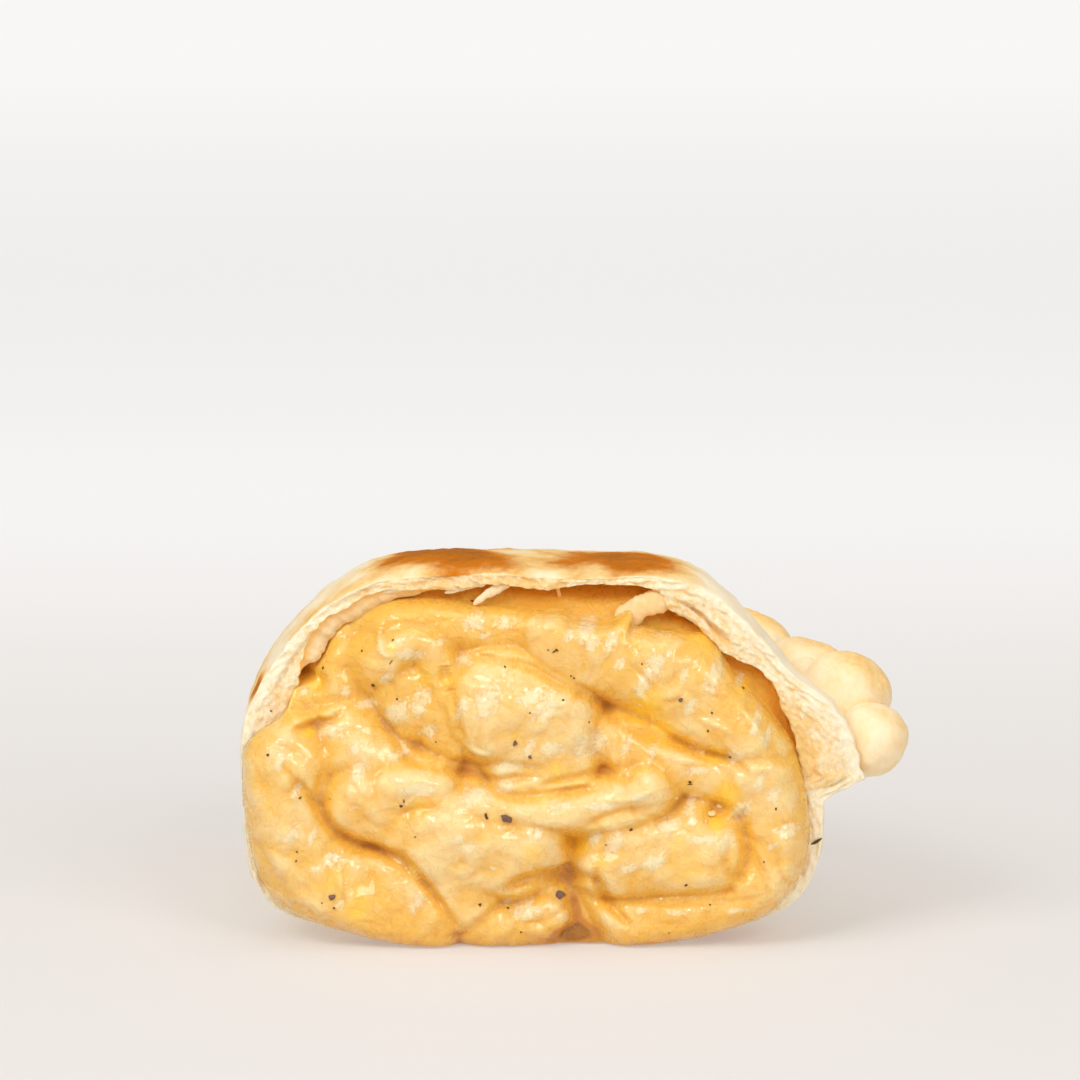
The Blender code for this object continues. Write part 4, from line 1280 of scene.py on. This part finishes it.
def make_filling(settings):
    """The soft mass: its lumpy face, the neck behind the lip, and the sides that run in to the tip."""
    face, angle, fields = filling_face(settings)
    size = FACE_CELLS + 1
    index = np.arange(size * size).reshape(size, size)
    rim = np.concatenate([index[:-1, 0], index[-1, :-1], index[:0:-1, -1], index[0, :0:-1]])
    around = angle[rim]
    _, edge = lip(around)
    length = HALF_LENGTH - TIP_THICKNESS - FIT_GAP
    turn = np.linspace(0, math.pi / 2, 10)[1:-1]
    depths = np.concatenate([[FIRST_RING], length * np.sin(turn), [length * INNER_END]])
    neck = edge + NECK_BEHIND + NECK_FURTHER * (1 - sagging(around, 0, FORWARD_BLEND))
    rings = np.stack([filling_points(around, depth) for depth in (neck, *depths)])
    cells = np.stack([index[:-1, :-1], index[1:, :-1], index[1:, 1:], index[:-1, 1:]], axis=-1)
    faces = cells.reshape(-1, 4).tolist()
    rows = [rim] + [size * size + row * len(rim) + np.arange(len(rim)) for row in range(len(rings))]
    for near, far in zip(rows[:-1], rows[1:]):
        faces += np.stack([np.roll(near, -1), near, far, np.roll(far, -1)], axis=-1).tolist()
    end = size * size + rings.shape[0] * len(rim)
    last = rows[-1]
    faces += np.stack([np.roll(last, -1), last, np.full(len(last), end)], axis=-1).tolist()
    points = np.concatenate([face, rings.reshape(-1, 3), [rings[-1].mean(axis=0)]])
    hidden = len(points) - len(face)
    fields = {name: np.concatenate([values, np.zeros(hidden)]) for name, values in fields.items()}
    return mesh_of("creamy_mass", points, faces, filling_look(settings), fields)


def filling_look(settings):
    """Melted cheese cream: translucent, pale where it stands out, orange where oil gathers, wet all over;
    painted shade in the creases, painted highlights, a painted glow where oily.
    """
    look = Look("melted_cream")
    hollow = look.field("hollow")
    oily = look.field("oily")
    level = look.field("level")
    cloud = look.noise(4.5, 4, 0.6)
    mottle = look.noise(1.1, 5, 0.65)
    pale = look.step(level * 0.14 + (cloud - 0.5) * 1.6 - hollow * 0.9, 0.2, 1.1)
    colour = look.mix(pale, settings.cream, settings.pale_cream)
    oil = look.step(oily + (mottle - 0.5) * 0.7 + hollow * 0.25, 0.1, 1.15) * 0.92
    colour = look.mix(oil, colour, settings.oil)
    # Painted shade: creases, shaded places and the foot are painted towards the shade colours
    deep = look.step(hollow + (mottle - 0.5) * 0.25, 0.28, 1.5) * (0.86 - oil * 0.5)
    colour = look.mix(deep, colour, settings.hollow)
    colour = look.mix(look.step(hollow, 1.6, 2.8) * 0.8, colour, settings.cleft)
    crackle = look.noise(0.55, 5, 0.75, distortion=1.0)
    # Painted highlight: pale skin painted on the listed places, broken up by a crackle
    highlight_film = look.step(look.field("painted_highlight") + (crackle - 0.5) * 2.6, 0.52, 0.84) * (1 - deep)
    colour = look.mix(highlight_film * 0.55, colour, settings.skin)
    islands = look.step(look.noise(1.2, 5, 0.62, distortion=0.7), 0.42, 0.54)
    ripple = look.noise(1.8, 2, 0.5, distortion=0.6)
    height = ripple * 0.7 + islands * 0.35 + crackle * (0.4 + highlight_film * 0.25)
    look.shine(
        Base_Color=colour,
        Roughness=0.50 - 0.20 * settings.wetness - islands * 0.22 + deep * 0.25,
        Coat_Weight=(islands - deep * 0.7) * settings.wetness,
        Coat_Roughness=0.07,
        Normal=look.bump(height, 0.15, 0.8),
        Specular_IOR_Level=0.55,
        # Painted light: the oily places glow.
        Emission_Color=look.mix(oil, BLACK, PAINTED_OIL_GLOW),
        Emission_Strength=1.0,
        Subsurface_Weight=0.45,
        Subsurface_Radius=(1.0, 0.55, 0.22),
        Subsurface_Scale=2.0 * MM,
        IOR=1.5,
    )
    return look.material


# ---- Specks ----

SPECK_SEGMENTS, SPECK_RINGS = 14, 10
SPECK_UNEVENNESS, SPECK_THICKNESS, SPECK_RAISED = 0.3, 0.55, 0.12
# Pixel of the photograph, then the bit's size in mm
PEPPER = (
    (300, 798, 0.4), (268, 755, 0.34), (373, 685, 0.42), (401, 806, 0.4), (480, 905, 0.36),
    (631, 830, 0.46), (708, 731, 0.3), (712, 713, 0.24), (743, 688, 0.36), (690, 782, 0.34),
    (362, 651, 0.3), (393, 640, 0.3), (323, 668, 0.34), (271, 711, 0.26), (505, 667, 0.34),
    (472, 601, 0.32), (557, 650, 0.4), (686, 885, 0.4), (563, 700, 0.3), (487, 818, 0.34), (297, 852, 0.26),
    (296, 861, 0.26), (334, 908, 0.3), (322, 903, 0.22), (508, 908, 0.3), (521, 932, 0.24),
    (397, 699, 0.24), (548, 650, 0.26), (574, 678, 0.26), (730, 757, 0.32), (776, 809, 0.28),
    (642, 664, 0.24), (571, 676, 0.22), (606, 845, 0.24), (710, 905, 0.26), (669, 933, 0.22),
    (330, 799, 0.2), (436, 742, 0.22), (415, 837, 0.22), (530, 713, 0.2), (589, 722, 0.22),
    (764, 862, 0.22),
)
OLIVE = (
    (506, 818, 1.15), (560, 895, 1.05), (515, 743, 0.62), (530, 757, 0.42), (681, 700, 0.5),
    (332, 897, 0.7),
)
HERBS = (
    (816, 841, 1.2), (404, 801, 0.5), (555, 651, 0.7), (690, 784, 0.5), (486, 816, 0.7), (391, 662, 0.5),
)
CRUMBS = (
    (712, 814, 1), (720, 806, 0.7), (740, 806, 0.8), (706, 822, 0.5), (676, 798, 0.55), (640, 705, 0.5),
)


def photo_ray(px, py):
    """Origin and direction, in the section's frame, of the camera's ray through a pixel of the photograph."""
    rise = math.radians(CAMERA_ELEVATION)
    away = np.array([0.0, -math.cos(rise), math.sin(rise)])
    up = np.array([0.0, math.sin(rise), math.cos(rise)])
    right = np.array([1.0, 0.0, 0.0])
    spread = SENSOR / LENS / 2
    direction = -away + spread * ((px - HALF_PX) / HALF_PX * right - (py - HALF_PX) / HALF_PX * up)
    return np.array(CAMERA_TARGET) + CAMERA_DISTANCE * away, unit(direction)


def surface_of(*names):
    """The joined surface of some pieces, to cast rays at."""
    pieces = [bpy.data.objects[name] for name in names]
    meshes = [(section_points(piece), [face.vertices for face in piece.data.polygons]) for piece in pieces]
    points, faces = merged(meshes)
    return BVHTree.FromPolygons(points.tolist(), faces)


def speck_points(middle, normal, size, flatness, rng):
    """Rings of one irregular bit that is sunk a little into the surface."""
    way, _ = ball(SPECK_SEGMENTS, SPECK_RINGS)
    uneven_reach = 1 + SPECK_UNEVENNESS * uneven(way, 1.3, int(rng.integers(1000)), waves=8)
    way = way * uneven_reach[..., None]
    side = unit(np.cross(normal, [0.3, 0.1, 1.0]))
    other = np.cross(normal, side)
    angle = rng.uniform(0, math.pi)
    long_axis = math.cos(angle) * side + math.sin(angle) * other
    short_axis = np.cross(normal, long_axis)
    shape = np.array([1.0, rng.uniform(*flatness), SPECK_THICKNESS * rng.uniform(*flatness)]) * size / 2
    axes = np.stack([long_axis, short_axis, normal], axis=1)
    return (way * shape) @ axes.T + middle + SPECK_RAISED * size * normal


def make_specks(name, places, flatness, scale, seed, carrier, finish):
    """All bits of one kind, set on the surface where the photograph shows them."""
    rng = np.random.default_rng(seed)
    tubes = []
    for px, py, size in places:
        origin, direction = photo_ray(px, py)
        hit, normal, _, _ = carrier.ray_cast(Vector(origin), Vector(direction))
        if hit is None:
            raise RuntimeError(f"{name}: nothing carries the bit at pixel {px}, {py}")
        rings = speck_points(np.array(hit), np.array(normal), scale * size, flatness, rng)
        tubes.append(closed_tube(rings))
    return mesh_of(name, *merged(tubes), finish)


def speck_look(name, colour, rough_from, dark_share):
    """A slightly moist bit with an uneven tone."""
    look = Look(name)
    tone = look.noise(0.25, 3, 0.6)
    dark = tuple(dark_share * part for part in colour)
    look.shine(
        Base_Color=look.mix(tone, dark, colour),
        Roughness=rough_from + tone * 0.2,
        Normal=look.bump(look.noise(0.12, 3, 0.6), 0.05, 0.8),
        Specular_IOR_Level=0.2,
    )
    return look.material


# ---- Stage ----

TABLE_SIZE = 6000.0
# Painted light: the table glows, least near the object but enough to keep its shadow light, most far behind it
NEAR_GLOW, BACK_GLOW, FAR_GLOW = (0.355, 0.33, 0.305), (0.575, 0.575, 0.57), (0.735, 0.735, 0.725)
BACK_FROM, BACK_TO = 0, 320  # mm behind the object
FAR_FROM, FAR_TO = 300, 1500
PAPER_WHITE = (0.98, 0.98, 0.98)
SKY_WHITE = (1.0, 0.995, 0.985, 1.0)
CLIP_START = 0.01
# Name, place and aim in mm in the model's frame, width and height in mm, share of the key light's power
LIGHTS = (
    ("key", (-400, -500, 560), (0, -26, 18), (480, 400), 1),
    ("second", (340, -600, 430), (0, -26, 18), (360, 320), 0.62),
    ("glint_left", (-300, -600, 560), (0, -26, 18), (80, 60), 0.1),
    ("glint_right", (220, -640, 500), (0, -26, 18), (60, 60), 0.06),
    ("top", (20, -60, 620), (0, 0, 10), (500, 500), 0.34),
)


def table_look(settings):
    """A matt white table that glows, more into the distance: painted light for a bright backdrop and a light
    shadow.
    """
    look = Look("white_table")
    place = look.node("ShaderNodeSeparateXYZ", inputs={0: look.place}, output="Y")
    paper = look.noise(1.5, 3, 0.5)
    glow = look.mix(look.step(place, BACK_FROM, BACK_TO), NEAR_GLOW, BACK_GLOW)
    glow = look.mix(look.step(place, FAR_FROM, FAR_TO), glow, FAR_GLOW)
    look.shine(
        Base_Color=look.mix(paper * 0.02, settings.table, PAPER_WHITE),
        Roughness=0.7 + paper * 0.1,
        Specular_IOR_Level=0.2,
        Emission_Color=glow,
        Emission_Strength=1.0,
    )
    return look.material


def add_light(name, place, aim, size, power):
    light = bpy.data.lights.new(name, "AREA")
    light.shape = "RECTANGLE"
    light.size = size[0] * MM
    light.size_y = size[1] * MM
    light.energy = power
    made = bpy.data.objects.new(name, light)
    made.location = Vector(place) * MM
    way = (Vector(aim) - Vector(place)).normalized()
    made.rotation_euler = way.to_track_quat("-Z", "Y").to_euler()
    bpy.context.scene.collection.objects.link(made)


def make_world(strength):
    world = bpy.data.worlds.new("daylight")
    world.use_nodes = True
    sky = world.node_tree.nodes["Background"]
    sky.inputs["Color"].default_value = SKY_WHITE
    sky.inputs["Strength"].default_value = strength
    bpy.context.scene.world = world


def make_camera():
    camera = bpy.data.cameras.new("camera")
    camera.lens = LENS
    camera.sensor_width = SENSOR
    camera.clip_start = CLIP_START
    made = bpy.data.objects.new("camera", camera)
    origin, _ = photo_ray(0, 0)
    made.location = Vector(origin + np.array([BODY_X, CUT_Y, 0.0])) * MM
    made.rotation_euler = (math.radians(90 - CAMERA_ELEVATION), 0.0, 0.0)
    bpy.context.scene.collection.objects.link(made)
    bpy.context.scene.camera = made


# ---- Operators and panel ----


class EMPANADA_OT_crust(bpy.types.Operator):
    """Make the baked crust with its torn rim"""

    bl_idname = "empanada.crust"
    bl_label = "Crust"

    def execute(self, context):
        made = make_crust(context.scene.empanada_dough)
        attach(made, "root")
        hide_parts("crust")
        return {"FINISHED"}


class EMPANADA_OT_rope_edge(bpy.types.Operator):
    """Make the folded rope along the seam"""

    bl_idname = "empanada.rope_edge"
    bl_label = "Rope edge"

    def execute(self, context):
        made = make_rope_edge(context.scene.empanada_dough)
        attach(made, "root")
        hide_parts("crust")
        return {"FINISHED"}


class EMPANADA_OT_strands(bpy.types.Operator):
    """Hang torn strands of dough from the rim"""

    bl_idname = "empanada.strands"
    bl_label = "Torn strands"

    def execute(self, context):
        made = make_strands(context.scene.empanada_dough)
        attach(made, "root")
        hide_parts("crust")
        return {"FINISHED"}


class EMPANADA_OT_filling(bpy.types.Operator):
    """Make the creamy filling"""

    bl_idname = "empanada.filling"
    bl_label = "Filling"

    def execute(self, context):
        made = make_filling(context.scene.empanada_filling)
        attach(made, "root")
        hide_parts("filling")
        return {"FINISHED"}


class EMPANADA_OT_specks(bpy.types.Operator):
    """Set the bits of pepper, olive, herb and crumb on the filling"""

    bl_idname = "empanada.specks"
    bl_label = "Specks"

    def execute(self, context):
        settings = context.scene.empanada_specks
        carrier = surface_of("creamy_mass", "crust_body")
        kinds = (
            ("pepper_bits", PEPPER, (0.45, 0.9), settings.pepper, 0.5, 0.55),
            ("olive_bits", OLIVE, (0.7, 1.0), settings.olive, 0.22, 0.4),
            ("herb_flakes", HERBS, (0.2, 0.35), settings.herb, 0.6, 0.45),
            ("crumbs", CRUMBS, (0.5, 0.9), context.scene.empanada_filling.pale_cream, 0.3, 0.9),
        )
        for seed, (name, places, flatness, colour, roughness, dark_share) in enumerate(kinds):
            finish = speck_look(name, colour, roughness, dark_share)
            made = make_specks(name, places, flatness, settings.speck_scale, seed, carrier, finish)
            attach(made, "root")
        return {"FINISHED"}


class EMPANADA_OT_stage(bpy.types.Operator):
    """Set up the table, the light and the camera"""

    bl_idname = "empanada.stage"
    bl_label = "Table, light and camera"

    def execute(self, context):
        settings = context.scene.empanada_stage
        half = TABLE_SIZE / 2 * MM
        mesh = bpy.data.meshes.new("table")
        corners = [(-half, -half, 0.0), (half, -half, 0.0), (half, half, 0.0), (-half, half, 0.0)]
        mesh.from_pydata(corners, [], [(0, 1, 2, 3)])
        table = bpy.data.objects.new("table", mesh)
        context.scene.collection.objects.link(table)
        table.data.materials.append(table_look(settings))
        for name, place, aim, size, share in LIGHTS:
            add_light(name, place, aim, size, share * settings.key_power)
        make_world(settings.daylight)
        make_camera()
        context.scene.view_settings.view_transform = "Standard"
        return {"FINISHED"}


class EMPANADA_PT_pieces(bpy.types.Panel):
    """Lists the settings and the pieces"""

    bl_idname = "EMPANADA_PT_pieces"
    bl_label = "Half empanada"
    bl_space_type = "VIEW_3D"
    bl_region_type = "UI"
    bl_category = "Empanada"

    def draw(self, context):
        for group in SETTINGS:
            settings = getattr(context.scene, group)
            box = self.layout.box()
            for key in settings.bl_rna.properties.keys():
                if key not in ("rna_type", "name"):
                    box.prop(settings, key)
        for operator in OPERATORS:
            self.layout.operator(operator.bl_idname)


SETTINGS = {
    "empanada_dough": DoughSettings,
    "empanada_filling": FillingSettings,
    "empanada_specks": SpeckSettings,
    "empanada_stage": StageSettings,
}
OPERATORS = (
    EMPANADA_OT_crust,
    EMPANADA_OT_rope_edge,
    EMPANADA_OT_strands,
    EMPANADA_OT_filling,
    EMPANADA_OT_specks,
    EMPANADA_OT_stage,
)


def register():
    for cls in (*SETTINGS.values(), *OPERATORS, EMPANADA_PT_pieces):
        bpy.utils.register_class(cls)
    for name, cls in SETTINGS.items():
        setattr(bpy.types.Scene, name, PointerProperty(type=cls))


def unregister():
    for name in SETTINGS:
        delattr(bpy.types.Scene, name)
    for cls in (EMPANADA_PT_pieces, *reversed(OPERATORS), *reversed(SETTINGS.values())):
        bpy.utils.unregister_class(cls)


def main():
    register()
    bpy.ops.empanada.crust()
    bpy.ops.empanada.rope_edge()
    bpy.ops.empanada.strands()
    bpy.ops.empanada.filling()
    bpy.ops.empanada.specks()
    bpy.ops.empanada.stage()


if __name__ == "__main__":
    main()
